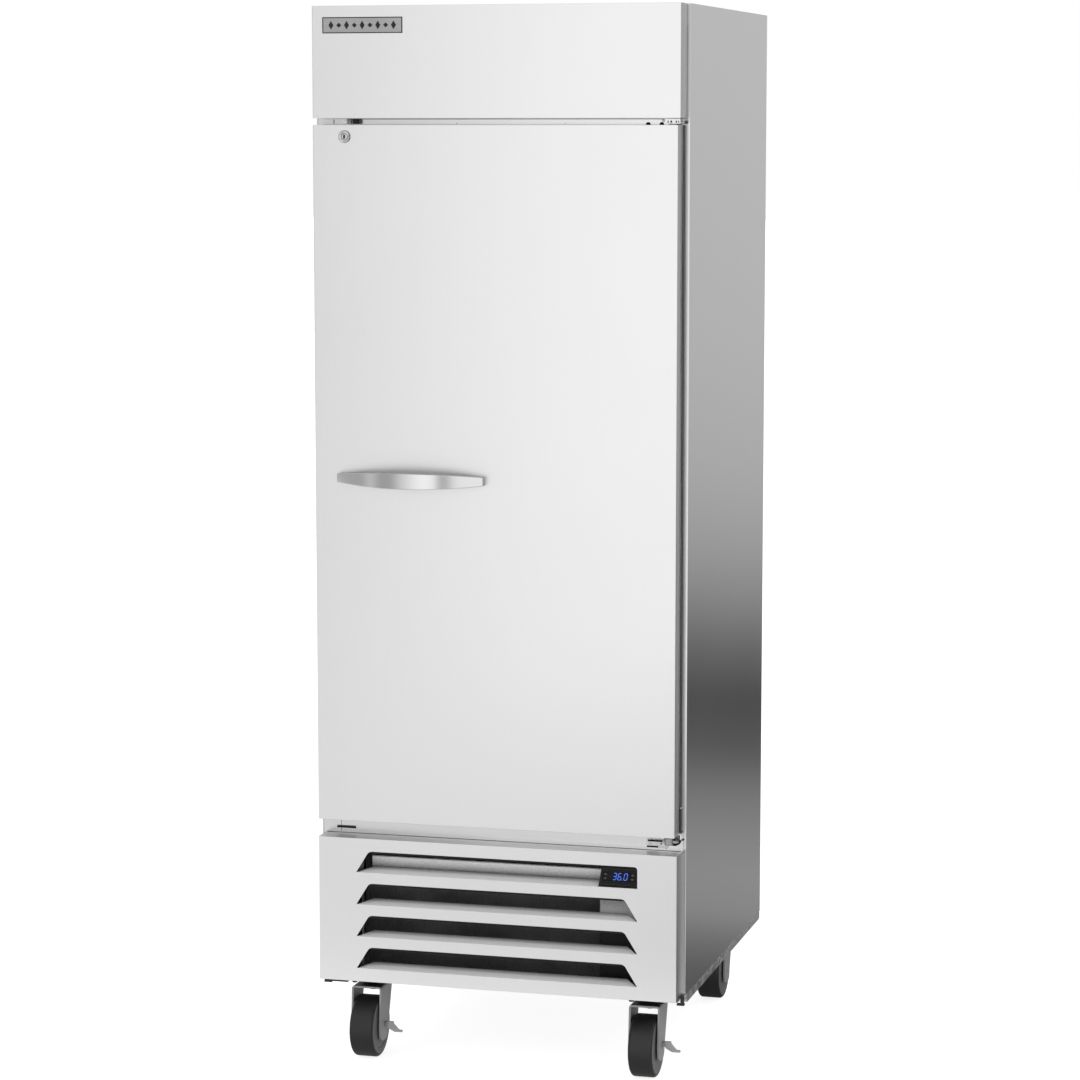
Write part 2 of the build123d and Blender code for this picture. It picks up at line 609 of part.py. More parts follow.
# ---------------------------------------------------------------- casters
def caster_fork(x, axle_y):
    """Swivelling fork, one strap bent into two legs, with its tubular axle."""
    swivel_y = axle_y + CASTER_TRAIL
    top = BASE_Z - 12.3
    crown_t = 5.0
    outer = FORK_GAP / 2 + FORK_LEG
    crown_y = (axle_y + CROWN_Y[0], axle_y + CROWN_Y[1])
    eye = Pos(axle_y, WHEEL_R) * Circle(FORK_EYE_R)
    crown_middle = (crown_y[0] + crown_y[1]) / 2
    crown_line = Pos(crown_middle, top - crown_t / 2) * Rectangle(crown_y[1] - crown_y[0], crown_t)
    side = make_face(make_hull(eye.edges() + crown_line.edges()))
    strap = Pos(x - outer, 0, 0) * extrude(Plane.YZ * side, 2 * outer)
    bends = strap.edges().filter_by(Axis.Y).group_by(Axis.Z)[-1]
    strap = fillet(bends, 6)
    reach = (axle_y - 60, axle_y + 90)
    strap -= block((x - FORK_GAP / 2, x + FORK_GAP / 2), reach, (0, top - crown_t))
    strap -= rod("z", (x, swivel_y, top - 30), 60, PIN_R + RUN_GAP)
    strap -= rod("x", (x - outer - 1, axle_y, WHEEL_R), 2 * outer + 2, AXLE_R)
    axle = rod("x", (x - outer, axle_y, WHEEL_R), 2 * outer, AXLE_R)
    axle -= rod("x", (x - outer - 1, axle_y, WHEEL_R), 2 * outer + 2, AXLE_R - 2)
    return strap, axle


def caster_wheel(x, axle_y):
    """Wheel with rounded tread edges and dished sides."""
    half = WHEEL_W / 2
    edge = 9.0
    wheel = rod("x", (-half, 0, 0), WHEEL_W, WHEEL_R)
    wheel = fillet(wheel.edges().filter_by(GeomType.CIRCLE), edge)
    for low in (-half - 1, half - 4):
        wheel -= rod("x", (low, 0, 0), 5, 46) - rod("x", (low - 1, 0, 0), 8, 18)
    wheel += rod("x", (-half - 2, 0, 0), WHEEL_W + 4, 12)
    wheel -= rod("x", (-50, 0, 0), 100, AXLE_R + RUN_GAP)
    return Pos(x, axle_y, WHEEL_R) * wheel


def brake_lever(x, axle_y):
    """Stepped toe lever beside the right-hand leg of a front caster, hinged on a pin in two ears."""
    leg_face = x + FORK_GAP / 2 + FORK_LEG
    knuckle_r = 4.0
    pin_r = 2.0
    lever_t = 4.5
    pivot_x = leg_face + knuckle_r + 0.6
    pivot_y = axle_y + 3.0
    points = [
        (0, 5.8),
        (14.3, 5.8),
        (14.3, 1.8),
        (26, -11),
        (33.2, -11),
        (33.2, -15.7),
        (15.2, -15.7),
        (3.6, -9.4),
        (-1, -3.8),
    ]
    outline = make_face(Polyline(*points, close=True))
    lever = Pos(pivot_x, pivot_y + lever_t / 2, BRAKE_Z) * extrude(Plane.XZ * outline, lever_t)
    lever += rod("y", (pivot_x, pivot_y - lever_t / 2, BRAKE_Z), lever_t, knuckle_r)
    lever -= rod("y", (pivot_x, pivot_y - 9, BRAKE_Z), 18, pin_r + RUN_GAP)

    ears = []
    for low in (pivot_y - lever_t / 2 - 2.3, pivot_y + lever_t / 2 + 0.3):
        ear = block((leg_face, pivot_x), (low, low + 2), (BRAKE_Z - knuckle_r, BRAKE_Z + knuckle_r))
        ears.append(ear + rod("y", (pivot_x, low, BRAKE_Z), 2, knuckle_r))
    pin = rod("y", (pivot_x, pivot_y - lever_t / 2 - 2.3, BRAKE_Z), lever_t + 4.6, pin_r)
    return lever, ears[0] + ears[1] + pin


def casters():
    """Four swivel casters; the front pair has brakes."""
    for row, axle_y in (("front", AXLE_FRONT_Y), ("rear", AXLE_REAR_Y)):
        for side, x in (("left", -CASTER_X), ("right", CASTER_X)):
            fork, axle = caster_fork(x, axle_y)
            if row == "front":
                lever, bracket = brake_lever(x, axle_y)
                fork += bracket
                save(row + "_" + side + "_brake", lever)
            save(row + "_" + side + "_fork", [fork, axle])
            save(row + "_" + side + "_wheel", caster_wheel(x, axle_y))


os.makedirs("parts", exist_ok=True)
cabinet_shell()
base_frame()
header()
front_grille()
controller()
door()
handle()
lock()
hinges()
shelves()
evaporator()
machine()
casters()
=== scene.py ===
"""Visual model of a single-door reach-in refrigerator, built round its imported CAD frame.

Metres, +X to the right as seen from the front, +Y to the back, +Z up, floor at Z = 0.
"""
import math

import bmesh
import bpy
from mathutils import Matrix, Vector


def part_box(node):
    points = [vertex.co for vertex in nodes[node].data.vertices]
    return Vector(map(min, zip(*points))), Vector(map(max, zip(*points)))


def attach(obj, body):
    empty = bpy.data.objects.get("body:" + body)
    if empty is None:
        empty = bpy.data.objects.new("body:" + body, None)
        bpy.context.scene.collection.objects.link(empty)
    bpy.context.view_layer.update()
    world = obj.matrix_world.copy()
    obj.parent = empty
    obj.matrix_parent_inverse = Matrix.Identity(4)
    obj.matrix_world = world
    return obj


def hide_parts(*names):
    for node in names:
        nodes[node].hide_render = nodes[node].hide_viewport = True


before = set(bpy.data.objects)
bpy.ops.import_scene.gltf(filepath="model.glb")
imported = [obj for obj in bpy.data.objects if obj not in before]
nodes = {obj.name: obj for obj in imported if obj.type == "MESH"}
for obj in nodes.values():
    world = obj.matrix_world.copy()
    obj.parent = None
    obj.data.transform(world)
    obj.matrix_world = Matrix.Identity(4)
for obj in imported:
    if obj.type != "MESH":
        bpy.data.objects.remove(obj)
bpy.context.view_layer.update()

# ---------------------------------------------------------------- places read from the frame
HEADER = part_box("header_panel")
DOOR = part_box("door_skin")
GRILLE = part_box("front_grille")
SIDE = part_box("side_panel_right")
DOOR_BACK = -0.335
FACE = HEADER[0].y
PIVOT = (0.352, FACE + 0.021, 0.0)
FRAME_Y = SIDE[0].y
REAR = SIDE[1].y
HALF = SIDE[1].x

# ---------------------------------------------------------------- materials
PRINCIPLED = "Principled BSDF"


class Nodes:
    """Small wrapper that adds shader nodes and links them."""

    def __init__(self, name):
        self.material = bpy.data.materials.new(name)
        self.material.use_nodes = True
        self.tree = self.material.node_tree
        self.shader = self.tree.nodes[PRINCIPLED]

    def add(self, kind, props=None, **sockets):
        made = self.tree.nodes.new("ShaderNode" + kind)
        for key, value in (props or {}).items():
            setattr(made, key, value)
        for key, value in sockets.items():
            self.put(made.inputs[key.replace("_", " ")], value)
        return made

    def put(self, socket, value):
        if isinstance(value, bpy.types.NodeSocket):
            self.tree.links.new(value, socket)
        else:
            socket.default_value = value

    def noise(self, stretch, detail=3.0):
        """Noise in object space; stretch is cycles per metre along X, Y and Z."""
        coords = self.add("TexCoord").outputs["Object"]
        mapped = self.add("Mapping", Vector=coords, Scale=stretch).outputs["Vector"]
        made = self.add("TexNoise", Vector=mapped, Scale=1.0, Detail=detail, Roughness=0.55)
        return made.outputs["Fac"]

    def spread(self, fac, low, high, start=0.3, end=0.7):
        made = self.add("MapRange", Value=fac, From_Min=start, From_Max=end, To_Min=low, To_Max=high)
        return made.outputs["Result"]

    def math(self, operation, first, second):
        made = self.add("Math", {"operation": operation})
        self.put(made.inputs[0], first)
        self.put(made.inputs[1], second)
        return made.outputs[0]

    def mix(self, fac, first, second):
        made = self.add("Mix", {"data_type": "RGBA"})
        self.put(made.inputs["Factor"], fac)
        self.put(made.inputs[6], (*first, 1.0) if isinstance(first, tuple) else first)
        self.put(made.inputs[7], (*second, 1.0) if isinstance(second, tuple) else second)
        return made.outputs[2]

    def bump(self, height, distance):
        made = self.add("Bump", Height=height, Distance=distance, Strength=1.0)
        self.put(self.shader.inputs["Normal"], made.outputs["Normal"])

    def set(self, **values):
        for key, value in values.items():
            self.put(self.shader.inputs[key.replace("_", " ")], value)


def grey(level):
    return (level, level, level)


def tint(color, factor):
    return tuple(min(1.0, c * factor) for c in color)


ALONG = 9.0          # noise cycles per metre along a brushed grain
BAND = (0.36, 0.64)  # the part of the mixed noise's range that a finish uses


def surface(name, color, roughness, metallic=0.0, grain=None, fine=900.0, cloud=3.0, shift=0.05,
            rough_span=0.08, relief=0.00003, aniso=0.0, specular=0.5, **extra):
    """Procedural finish: a fine grain, slow clouds of handling marks and a matching relief."""
    mat = Nodes(name)
    stretch = {"x": (ALONG, fine, fine), "z": (fine, fine, ALONG), None: (fine, fine, fine)}[grain]
    grains = mat.noise(stretch, detail=2.0)
    clouds = mat.noise((cloud, cloud, cloud), detail=4.0)
    both = mat.math("ADD", mat.math("MULTIPLY", grains, 0.45), mat.math("MULTIPLY", clouds, 0.55))
    shade = mat.spread(both, 0.0, 1.0, *BAND)
    mat.set(
        Base_Color=mat.mix(shade, tint(color, 1 - shift), tint(color, 1 + shift)),
        Roughness=mat.spread(both, roughness - rough_span / 2, roughness + rough_span / 2, *BAND),
        Metallic=metallic,
        Specular_IOR_Level=specular,
        **extra,
    )
    if aniso:
        mat.set(Anisotropic=aniso)
        tangent = mat.add("Tangent", {"direction_type": "RADIAL", "axis": "Z"})
        mat.put(mat.shader.inputs["Tangent"], tangent.outputs["Tangent"])
    mat.bump(grains, relief)
    return mat.material


def galvanised(name, color, roughness, cell, dark, light):
    """Zinc coating with its spangle of crystal patches, cell of them per metre."""
    mat = Nodes(name)
    coords = mat.add("TexCoord").outputs["Object"]
    cells = mat.add("TexVoronoi", Vector=coords, Scale=cell).outputs["Color"]
    tone = mat.add("SeparateColor", Color=cells).outputs["Red"]
    grains = mat.noise((500.0, 500.0, 500.0))
    both = mat.math("ADD", mat.math("MULTIPLY", tone, 0.7), mat.math("MULTIPLY", grains, 0.3))
    swing = 0.25 * (light - dark)
    mat.set(
        Base_Color=mat.mix(both, tint(color, dark), tint(color, light)),
        Roughness=mat.spread(tone, roughness - swing, roughness + swing, 0.0, 1.0),
        Metallic=1.0,
    )
    mat.bump(grains, 0.00004)
    return mat.material


def painted_shade_sheet(name, level, axis, near, far):
    """Sheet bent into a cavity: grainy, with painted shade that darkens it from near to far along an axis."""
    mat = Nodes(name)
    coords = mat.add("TexCoord").outputs["Object"]
    # painted shade: depth runs from 0 at near to 1 at far and darkens the base colour
    depth = mat.spread(mat.add("SeparateXYZ", Vector=coords).outputs[axis], 0.0, 1.0, near, far)
    grains = mat.noise((650.0, 650.0, 650.0))
    both = mat.math("ADD", depth, mat.math("MULTIPLY", mat.math("SUBTRACT", grains, 0.5), 0.9))
    mat.set(
        Base_Color=mat.mix(mat.spread(both, 0.0, 1.0, 0.0, 1.0), grey(level), tint(grey(level), 0.05)),
        Roughness=mat.spread(grains, 0.45, 0.6),
        Metallic=0.2,
        Specular_IOR_Level=0.2,
    )
    mat.bump(grains, 0.00003)
    return mat.material


def glowing(name, color, strength):
    """Lit figures of a display, faintly grained."""
    mat = Nodes(name)
    grains = mat.noise((2500.0, 2500.0, 2500.0), detail=2.0)
    glow = mat.mix(mat.spread(grains, 0.0, 1.0), tint(color, 0.85), color)
    mat.set(Base_Color=(0.02, 0.03, 0.08, 1.0), Roughness=0.3, Emission_Color=glow, Emission_Strength=strength)
    return mat.material


MATS = {
    "front": surface("stainless_front", grey(0.70), 0.36, 1.0, "z", shift=0.012, rough_span=0.05,
                     aniso=0.35, relief=0.000008),
    "side": surface("stainless_side", grey(0.60), 0.17, 1.0, "z", shift=0.015, rough_span=0.03,
                    relief=0.000001),
    # painted shade: darker copy of the front steel for faces that look sideways
    "return": surface("stainless_return_painted_shade", grey(0.42), 0.30, 1.0, "z", shift=0.02, rough_span=0.04,
                      relief=0.000002),
    "frame": surface("stainless_frame", grey(0.64), 0.24, 1.0, "x", shift=0.02, rough_span=0.04,
                     relief=0.000003),
    "inner": surface("stainless_liner", grey(0.74), 0.38, 1.0, "z", shift=0.03, relief=0.00001),
    "satin": surface("satin_steel", grey(0.53), 0.17, 1.0, "x", shift=0.03, rough_span=0.06, relief=0.000008),
    "cylinder": surface("lock_cylinder", grey(0.50), 0.22, 1.0, shift=0.06, relief=0.000006),
    "bright": surface("bright_zinc", grey(0.84), 0.5, 0.3, None, 500.0, 20.0, relief=0.00001),
    "white": surface("white_zinc", grey(0.96), 0.5, 0.0, None, 500.0, 20.0, 0.03, relief=0.00001),
    # plated zinc, also painted shade on the handle's top and end faces
    "plated": surface("zinc_plated_and_painted_shade", (0.34, 0.345, 0.345), 0.34, 1.0, None, 260.0, shift=0.10, rough_span=0.16),
    # painted shade: darker zinc for the fork's side faces and a strip beside the door
    "leg": surface("fork_zinc_painted_shade", grey(0.26), 0.46, 0.3, None, 260.0, 12.0, 0.08),
    "lever": surface("lever_zinc", grey(0.34), 0.42, 0.4, None, 260.0, 12.0, 0.08),
    "spangle": galvanised("galvanised_sheet", (0.62, 0.615, 0.60), 0.36, 90.0, 0.74, 1.16),
    "sheet": galvanised("galvanised_back", (0.58, 0.59, 0.59), 0.42, 130.0, 0.93, 1.06),
    "foam": surface("rigid_foam", (0.80, 0.70, 0.42), 0.85, 0.0, None, 350.0, 12.0, 0.12, relief=0.0002),
    "gasket": surface("black_gasket", grey(0.008), 0.6, fine=500.0, shift=0.25, relief=0.00004),
    "black": surface("black_plastic", (0.012, 0.012, 0.013), 0.42, fine=1400.0, shift=0.2, specular=0.35),
    # black paint for dark parts, also painted shade in gaps, strips and recesses
    "shade": surface("black_paint_and_painted_shade", grey(0.008), 0.6, fine=600.0, shift=0.3, relief=0.00004, specular=0.2),
    "key": surface("grey_keys", (0.034, 0.034, 0.035), 0.5, fine=1600.0, shift=0.12),
    "lens": surface("display_lens", (0.006, 0.006, 0.008), 0.30, fine=700.0, shift=0.2, relief=0.000004,
                    specular=0.12),
    "tread": surface("rubber_tread", (0.011, 0.011, 0.0115), 0.5, 0.0, None, 420.0, 14.0, 0.28, 0.2, 0.00004,
                     specular=0.4),
    "hub": surface("wheel_core", (0.095, 0.095, 0.096), 0.5, 0.0, None, 420.0, 14.0, 0.14, 0.12),
    "wire": surface("coated_wire", (0.80, 0.81, 0.81), 0.3, 0.4, None, 500.0, 10.0),
    "aluminium": surface("evaporator_aluminium", (0.72, 0.73, 0.74), 0.38, 1.0, "x", shift=0.06),
    "coil": surface("condenser_coating", grey(0.18), 0.5, 0.3, None, 300.0, 8.0, 0.35, 0.2, 0.00006),
    "enamel": surface("black_enamel", (0.016, 0.016, 0.017), 0.28, 0.0, None, 240.0, 8.0, 0.2, relief=0.00005),
    "drain": surface("drain_plastic", (0.16, 0.16, 0.165), 0.5, fine=600.0, shift=0.1),
    "copper": surface("copper_tube", (0.72, 0.38, 0.24), 0.3, 1.0, None, 160.0, 20.0, 0.14, 0.2),
    "lamp": surface("lamp_cover", (0.92, 0.92, 0.89), 0.35, fine=300.0, shift=0.02, Transmission_Weight=0.25),
    "plate": surface("nameplate_face", (0.36, 0.36, 0.365), 0.34, 1.0, "x", 1500.0, 9.0, 0.10, 0.1, 0.00002),
    "ink": surface("plate_ink", (0.014, 0.014, 0.016), 0.5, shift=0.15, relief=0.00001, specular=0.2),
    # painted shade: the lance, apron and flange sheets darken along an axis into the cavity
    "lance": painted_shade_sheet("stainless_lance", 0.88, "Y", FACE + 0.016, FACE + 0.040),
    "apron": painted_shade_sheet("apron_sheet", 0.80, "Z", 0.4280, 0.4045),
    "inner_flange": painted_shade_sheet("flange_sheet", 0.45, "Z", 0.340, 0.398),
    "digit": glowing("display_digits", (0.06, 0.20, 1.0), 1.3),
    "floor": surface("studio_floor", grey(0.45), 0.7, 0.0, None, 6.0, 0.4, 0.004, relief=0.0, specular=0.0,
                     Emission_Color=(1.0, 1.0, 1.0, 1.0), Emission_Strength=0.84),
}


# ---------------------------------------------------------------- mesh building
class Shape:
    """Collects mesh parts, each with its own material, into one piece."""

    def __init__(self, *materials):
        self.bm = bmesh.new()
        self.materials = list(materials)

    def take(self, part, mat=0):
        for face in part.faces:
            face.material_index = mat
        mesh = bpy.data.meshes.new("part")
        part.to_mesh(mesh)
        part.free()
        self.bm.from_mesh(mesh)
        bpy.data.meshes.remove(mesh)
        return self

    def block(self, lo, hi, mat=0):
        part = bmesh.new()
        bmesh.ops.create_cube(part, size=1.0)
        lo, hi = Vector(lo), Vector(hi)
        for v in part.verts:
            v.co = Vector(lo[i] + (v.co[i] + 0.5) * (hi[i] - lo[i]) for i in range(3))
        return self.take(part, mat)

    def prism(self, outline, low, high, axis="y", mat=0):
        """Extrudes a flat outline; its two numbers are the two axes left over, in XYZ order."""
        part = bmesh.new()
        rings = []
        for level in (low, high):
            spots = {
                "x": lambda a, b: (level, a, b),
                "y": lambda a, b: (a, level, b),
                "z": lambda a, b: (a, b, level),
            }[axis]
            rings.append([part.verts.new(spots(a, b)) for a, b in outline])
        part.faces.new(rings[0])
        part.faces.new(list(reversed(rings[1])))
        bridge(part, rings)
        bmesh.ops.recalc_face_normals(part, faces=part.faces)
        return self.take(part, mat)

    def pad(self, x, z, y, radius, mat=0, steps=3):
        """Plate that lies across Y, with rounded corners; x, z and y are its ranges."""
        return self.prism(rounded(x, z, (radius,) * 4, steps), *y, "y", mat)

    def rod(self, radius, low, high, origin, axis, mat=0, steps=32):
        """Round bar between two heights on an axis through origin."""
        return self.lathe([(0.0, low), (radius, low), (radius, high), (0.0, high)], origin, axis, mat, steps)

    def lathe(self, profile, origin, axis="x", mat=0, steps=48):
        """Turns (radius, height) points about an axis through origin."""
        part = bmesh.new()
        rings = []
        for step in range(steps):
            turn = math.tau * step / steps
            c, s = math.cos(turn), math.sin(turn)
            ring = []
            for radius, height in profile:
                spot = {
                    "x": (height, radius * c, radius * s),
                    "y": (radius * c, height, radius * s),
                    "z": (radius * c, radius * s, height),
                }[axis]
                ring.append(part.verts.new(Vector(spot) + Vector(origin)))
            rings.append(ring)
        for here, there in zip(rings, rings[1:] + rings[:1]):
            for low in range(len(profile) - 1):
                part.faces.new((here[low], here[low + 1], there[low + 1], there[low]))
        bmesh.ops.remove_doubles(part, verts=part.verts, dist=1e-6)
        bmesh.ops.recalc_face_normals(part, faces=part.faces)
        return self.take(part, mat)

    def loft(self, rings, mat=0):
        part = bmesh.new()
        made = [[part.verts.new(spot) for spot in ring] for ring in rings]
        bridge(part, made)
        part.faces.new(made[0])
        part.faces.new(list(reversed(made[-1])))
        bmesh.ops.recalc_face_normals(part, faces=part.faces)
        return self.take(part, mat)

    def tube(self, points, radius, mat=0, sides=12):
        """Round bar along a line of points."""
        points = [Vector(p) for p in points]
        rings = []
        side = None
        for index, spot in enumerate(points):
            ahead = points[min(index + 1, len(points) - 1)] - points[max(index - 1, 0)]
            ahead.normalize()
            if side is None:
                side = ahead.orthogonal().normalized()
            side = (side - ahead * side.dot(ahead)).normalized()
            up = ahead.cross(side)
            turns = [math.tau * step / sides for step in range(sides)]
            rings.append([spot + radius * (side * math.cos(t) + up * math.sin(t)) for t in turns])
        return self.loft(rings, mat)

    def paint(self, mat, axis, least=0.7):
        """Gives another material to the faces that look along an axis."""
        self.bm.normal_update()
        for face in self.bm.faces:
            if abs(face.normal[axis]) > least:
                face.material_index = mat
        return self

    def cut(self, *cutters):
        """Takes the cutters' volume away."""
        base = self.to_object("base")
        for cutter in cutters:
            tool = cutter.to_object("tool")
            mod = base.modifiers.new("cut", "BOOLEAN")
            mod.operation = "DIFFERENCE"
            mod.solver = "EXACT"
            mod.object = tool
        depsgraph = bpy.context.evaluated_depsgraph_get()
        mesh = bpy.data.meshes.new_from_object(base.evaluated_get(depsgraph))
        self.bm = bmesh.new()
        self.bm.from_mesh(mesh)
        for mod in list(base.modifiers):
            bpy.data.objects.remove(mod.object)
        bpy.data.objects.remove(base)
        return self

    def to_object(self, name):
        mesh = bpy.data.meshes.new(name)
        self.bm.to_mesh(mesh)
        self.bm.free()
        made = bpy.data.objects.new(name, mesh)
        bpy.context.scene.collection.objects.link(made)
        for mat in self.materials:
            mesh.materials.append(MATS[mat])
        return made

    def piece(self, name, body, replaces=(), edge=0.0006, angle=35.0):
        """Makes the object, softens its edges and hands it to its body."""
        made = self.to_object(name)
        finish_edges(made, edge, angle)
        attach(made, body)
        if replaces:
            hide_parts(*replaces)


def bridge(part, rings):
    for first, second in zip(rings, rings[1:]):
        for index in range(len(first)):
            after = (index + 1) % len(first)
            part.faces.new((first[index], first[after], second[after], second[index]))


def strip(path, sheet):
    """A bent sheet's outer line, each point with its offset to the inner line."""
    points = []
    for index, spot in enumerate(path):
        after, before = path[min(index + 1, len(path) - 1)], path[max(index - 1, 0)]
        ahead = Vector((after[0] - before[0], after[1] - before[1])).normalized()
        points.append((*spot, ahead.y * sheet, -ahead.x * sheet))
    return points


def section(left, right, y, z, dy, dz):
    """Cross-section of a bent sheet that runs from left to right."""
    return [(left, y, z), (right, y, z), (right, y + dy, z + dz), (left, y + dy, z + dz)]


def oval(x, z, half_x, half_z, steps=28):
    turns = [math.tau * step / steps for step in range(steps)]
    return [(x + half_x * math.cos(turn), z + half_z * math.sin(turn)) for turn in turns]


def finish_edges(made, edge, angle=35.0):
    """Smooth shading between sharp edges, which get a small bevel."""
    mesh = made.data
    for polygon in mesh.polygons:
        polygon.use_smooth = True
    mesh.set_sharp_from_angle(angle=math.radians(angle))
    if edge:
        mod = made.modifiers.new("edge", "BEVEL")
        mod.width = edge
        mod.segments = 2
        mod.limit_method = "ANGLE"
        mod.angle_limit = math.radians(angle)
        mod.miter_outer = "MITER_ARC"
    mod = made.modifiers.new("shading", "WEIGHTED_NORMAL")
    mod.weight = 100
    mod.keep_sharp = True


def rounded(x, z, radii, steps=6):
    """Rectangle outline with a radius at each corner: low-low, high-low, high-high, low-high."""
    corners = [(x[0], z[0], 180), (x[1], z[0], 270), (x[1], z[1], 0), (x[0], z[1], 90)]
    signs = [(1, 1), (-1, 1), (-1, -1), (1, -1)]
    points = []
    for (cx, cz, start), (sx, sz), radius in zip(corners, signs, radii):
        if radius <= 0:
            points.append((cx, cz))
            continue
        for step in range(steps + 1):
            turn = math.radians(start + 90 * step / steps)
            points.append((cx + radius * (sx + math.cos(turn)), cz + radius * (sz + math.sin(turn))))
    return points


def finish_node(name, mat, edge=0.0, angle=30.0):
    """A CAD node that keeps its shape gets its finish and softer edges."""
    made = nodes[name]
    made.data.materials.clear()
    made.data.materials.append(MATS[mat])
    if edge:
        finish_edges(made, edge, angle)


# ---------------------------------------------------------------- cabinet sheet metal
def header():
    """Header box with a stepped rear edge, and a plain nameplate with a row of diamonds."""
    lo, hi = HEADER
    body = Shape("front", "return")
    lip = FACE + 0.038
    body.prism(rounded((lo.x, hi.x), (lo.y, lip), (0.0025, 0.0025, 0, 0)), lo.z, hi.z, "z")
    body.block((lo.x + 0.0014, lip - 0.002, lo.z + 0.001), (hi.x - 0.0014, hi.y, hi.z - 0.001))
    # painted shade: the header's side faces take the darker return steel
    body.paint(1, 0)
    body.piece("header_shell", "cabinet", ["header_panel"])

    lo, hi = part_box("nameplate")
    plate = Shape("plate", "ink")
    plate.pad((lo.x, hi.x), (lo.z, hi.z), (lo.y + 0.0004, hi.y), 0.0012)
    rim = 0.0019
    for x in ((lo.x, lo.x + rim), (hi.x - rim, hi.x)):
        plate.block((x[0], lo.y, lo.z), (x[1], lo.y + 0.0008, hi.z), 1)
    for z in ((lo.z, lo.z + rim), (hi.z - rim, hi.z)):
        plate.block((lo.x + rim, lo.y, z[0]), (hi.x - rim, lo.y + 0.0008, z[1]), 1)
    middle = (lo.z + hi.z) / 2
    count, margin, wide = 9, 0.018, 0.0052
    for step in range(count):
        x = lo.x + margin + step * (hi.x - lo.x - 2 * margin) / (count - 1)
        tall = 0.0085 if step % 2 == 0 else 0.0050
        diamond = [(x - wide, middle), (x, middle - tall), (x + wide, middle), (x, middle + tall)]
        plate.prism(diamond, lo.y + 0.0001, lo.y + 0.0006, "y", 1)
    plate.piece("name_plate_blank", "cabinet", ["nameplate"], edge=0.00015)


def side_panels():
    """Outer side skins, hemmed round the front and folded onto the back."""
    low, high = SIDE[0].z, SIDE[1].z
    for name, sign in (("left", -1), ("right", 1)):
        hem, fold, sheet = 0.0036, 0.019, 0.001
        front = FRAME_Y - 0.0008
        outline = [
            (HALF - hem, front),
            (HALF - 0.0006, front),
            (HALF, front + 0.0006),
            (HALF, REAR - 0.0008),
            (HALF - 0.0008, REAR),
            (HALF - fold, REAR),
            (HALF - fold, REAR - sheet),
            (HALF - sheet, REAR - sheet),
            (HALF - sheet, front + sheet),
            (HALF - hem, front + sheet),
        ]
        skin = Shape("side")
        skin.prism([(sign * x, y) for x, y in outline], low, high, "z")
        skin.piece("side_skin_" + name, "cabinet", ["side_panel_" + name], edge=0.0)


def back_and_top():
    """Back sheet with pressed beads and its screws, and the top sheet."""
    lo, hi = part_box("back_panel")
    back = Shape("sheet", "plated")
    inner = HALF - 0.0155
    back.block((-inner, REAR - 0.0018, lo.z), (inner, REAR - 0.0008, hi.z))
    raised = (REAR - 0.0012, REAR - 0.0002)
    for step in range(7):
        z = lo.z + 0.14 + step * (hi.z - lo.z - 0.28) / 6
        for x in (-0.19, 0.19):
            back.pad((x - 0.13, x + 0.13), (z - 0.008, z + 0.008), raised, 0.0079, steps=6)
    for step in range(9):
        z = lo.z + 0.03 + step * (hi.z - lo.z - 0.06) / 8
        for x in (-HALF + 0.0085, HALF - 0.0085):
            screw_head(back, (x, REAR - 0.0012, z), 1, 1, 0.0036, 0.0012)
    back.piece("back_sheet", "cabinet", ["back_panel"], edge=0.0004)
    finish_node("top_panel", "sheet", 0.0003)


def screw_head(shape, spot, facing, mat, radius=0.004, height=0.0022):
    """Pan-head screw with a cross recess, facing -Y or +Y."""
    x, y, z = spot
    profile = [(0.0, height), (radius * 0.55, height), (radius * 0.86, height * 0.72),
               (radius, height * 0.3), (radius, 0.0), (0.0, 0.0)]
    head = Shape("black")
    head.lathe([(r, facing * h) for r, h in profile], spot, "y", 0, 20)
    slots = []
    for wide, tall in ((0.55, 0.13), (0.13, 0.55)):
        slot = Shape("black")
        depth = facing * height * 0.5
        near, far = sorted((y + depth, y + facing * height * 1.4))
        slot.block((x - radius * wide, near, z - radius * tall), (x + radius * wide, far, z + radius * tall))
        slots.append(slot)
    head.cut(*slots)
    shape.take(head.bm, mat)


def face_frame():
    """Face frame details: stile seams, the spare hinge's slot, a line of painted shadow under the header and
    strips of painted shade beside the door.
    """
    finish_node("front_frame", "frame", 0.0003)
    trim = Shape("shade", "leg", "cylinder")
    for sign in (-1, 1):
        x = sign * (HALF - 0.0405)
        trim.block((x - 0.0004, FRAME_Y - 0.0002, 0.477), (x + 0.0004, FRAME_Y + 0.0004, 0.548))
    trim.pad((-0.3495, -0.3085), (0.4835, 0.4865), (FRAME_Y - 0.0006, FRAME_Y + 0.0006), 0.001)
    # painted shadow: a dark line on the frame under the header's lower edge
    trim.block((-0.2840, FRAME_Y - 0.0008, 1.9200), (0.3300, FRAME_Y, 1.9210))
    for x, top in ((-0.3455, 1.9195), (-0.0905, 1.9128), (0.131, 1.9128)):
        trim.block((x, FRAME_Y - 0.001, 1.9112), (x + 0.0011, FRAME_Y, top))
    # painted shade: black, dark grey and mid grey strips darken the stile beside the door gap
    strips = (
        (0.3702, 0.3714, 0.0012, 0.5640, 1.9080, 0),
        (0.3714, 0.3742, 0.0010, 0.5640, 1.9080, 1),
        (0.3742, 0.3774, 0.0005, 0.4700, 2.1000, 2),
    )
    for left, right, proud, low, high, mat in strips:
        trim.block((left, FRAME_Y - proud, low), (right, FRAME_Y, high), mat)
    trim.piece("frame_seams", "cabinet", edge=0.0)


# ---------------------------------------------------------------- front grille
PITCH = 0.0664
LOUVRE_LOW = 0.205
LOUVRE_H = 0.0436
LOUVRE_WIDE = 0.293
LOUVRE_NARROW = 0.266
CONTROL_LEFT = 0.213
SHEET = 0.0013


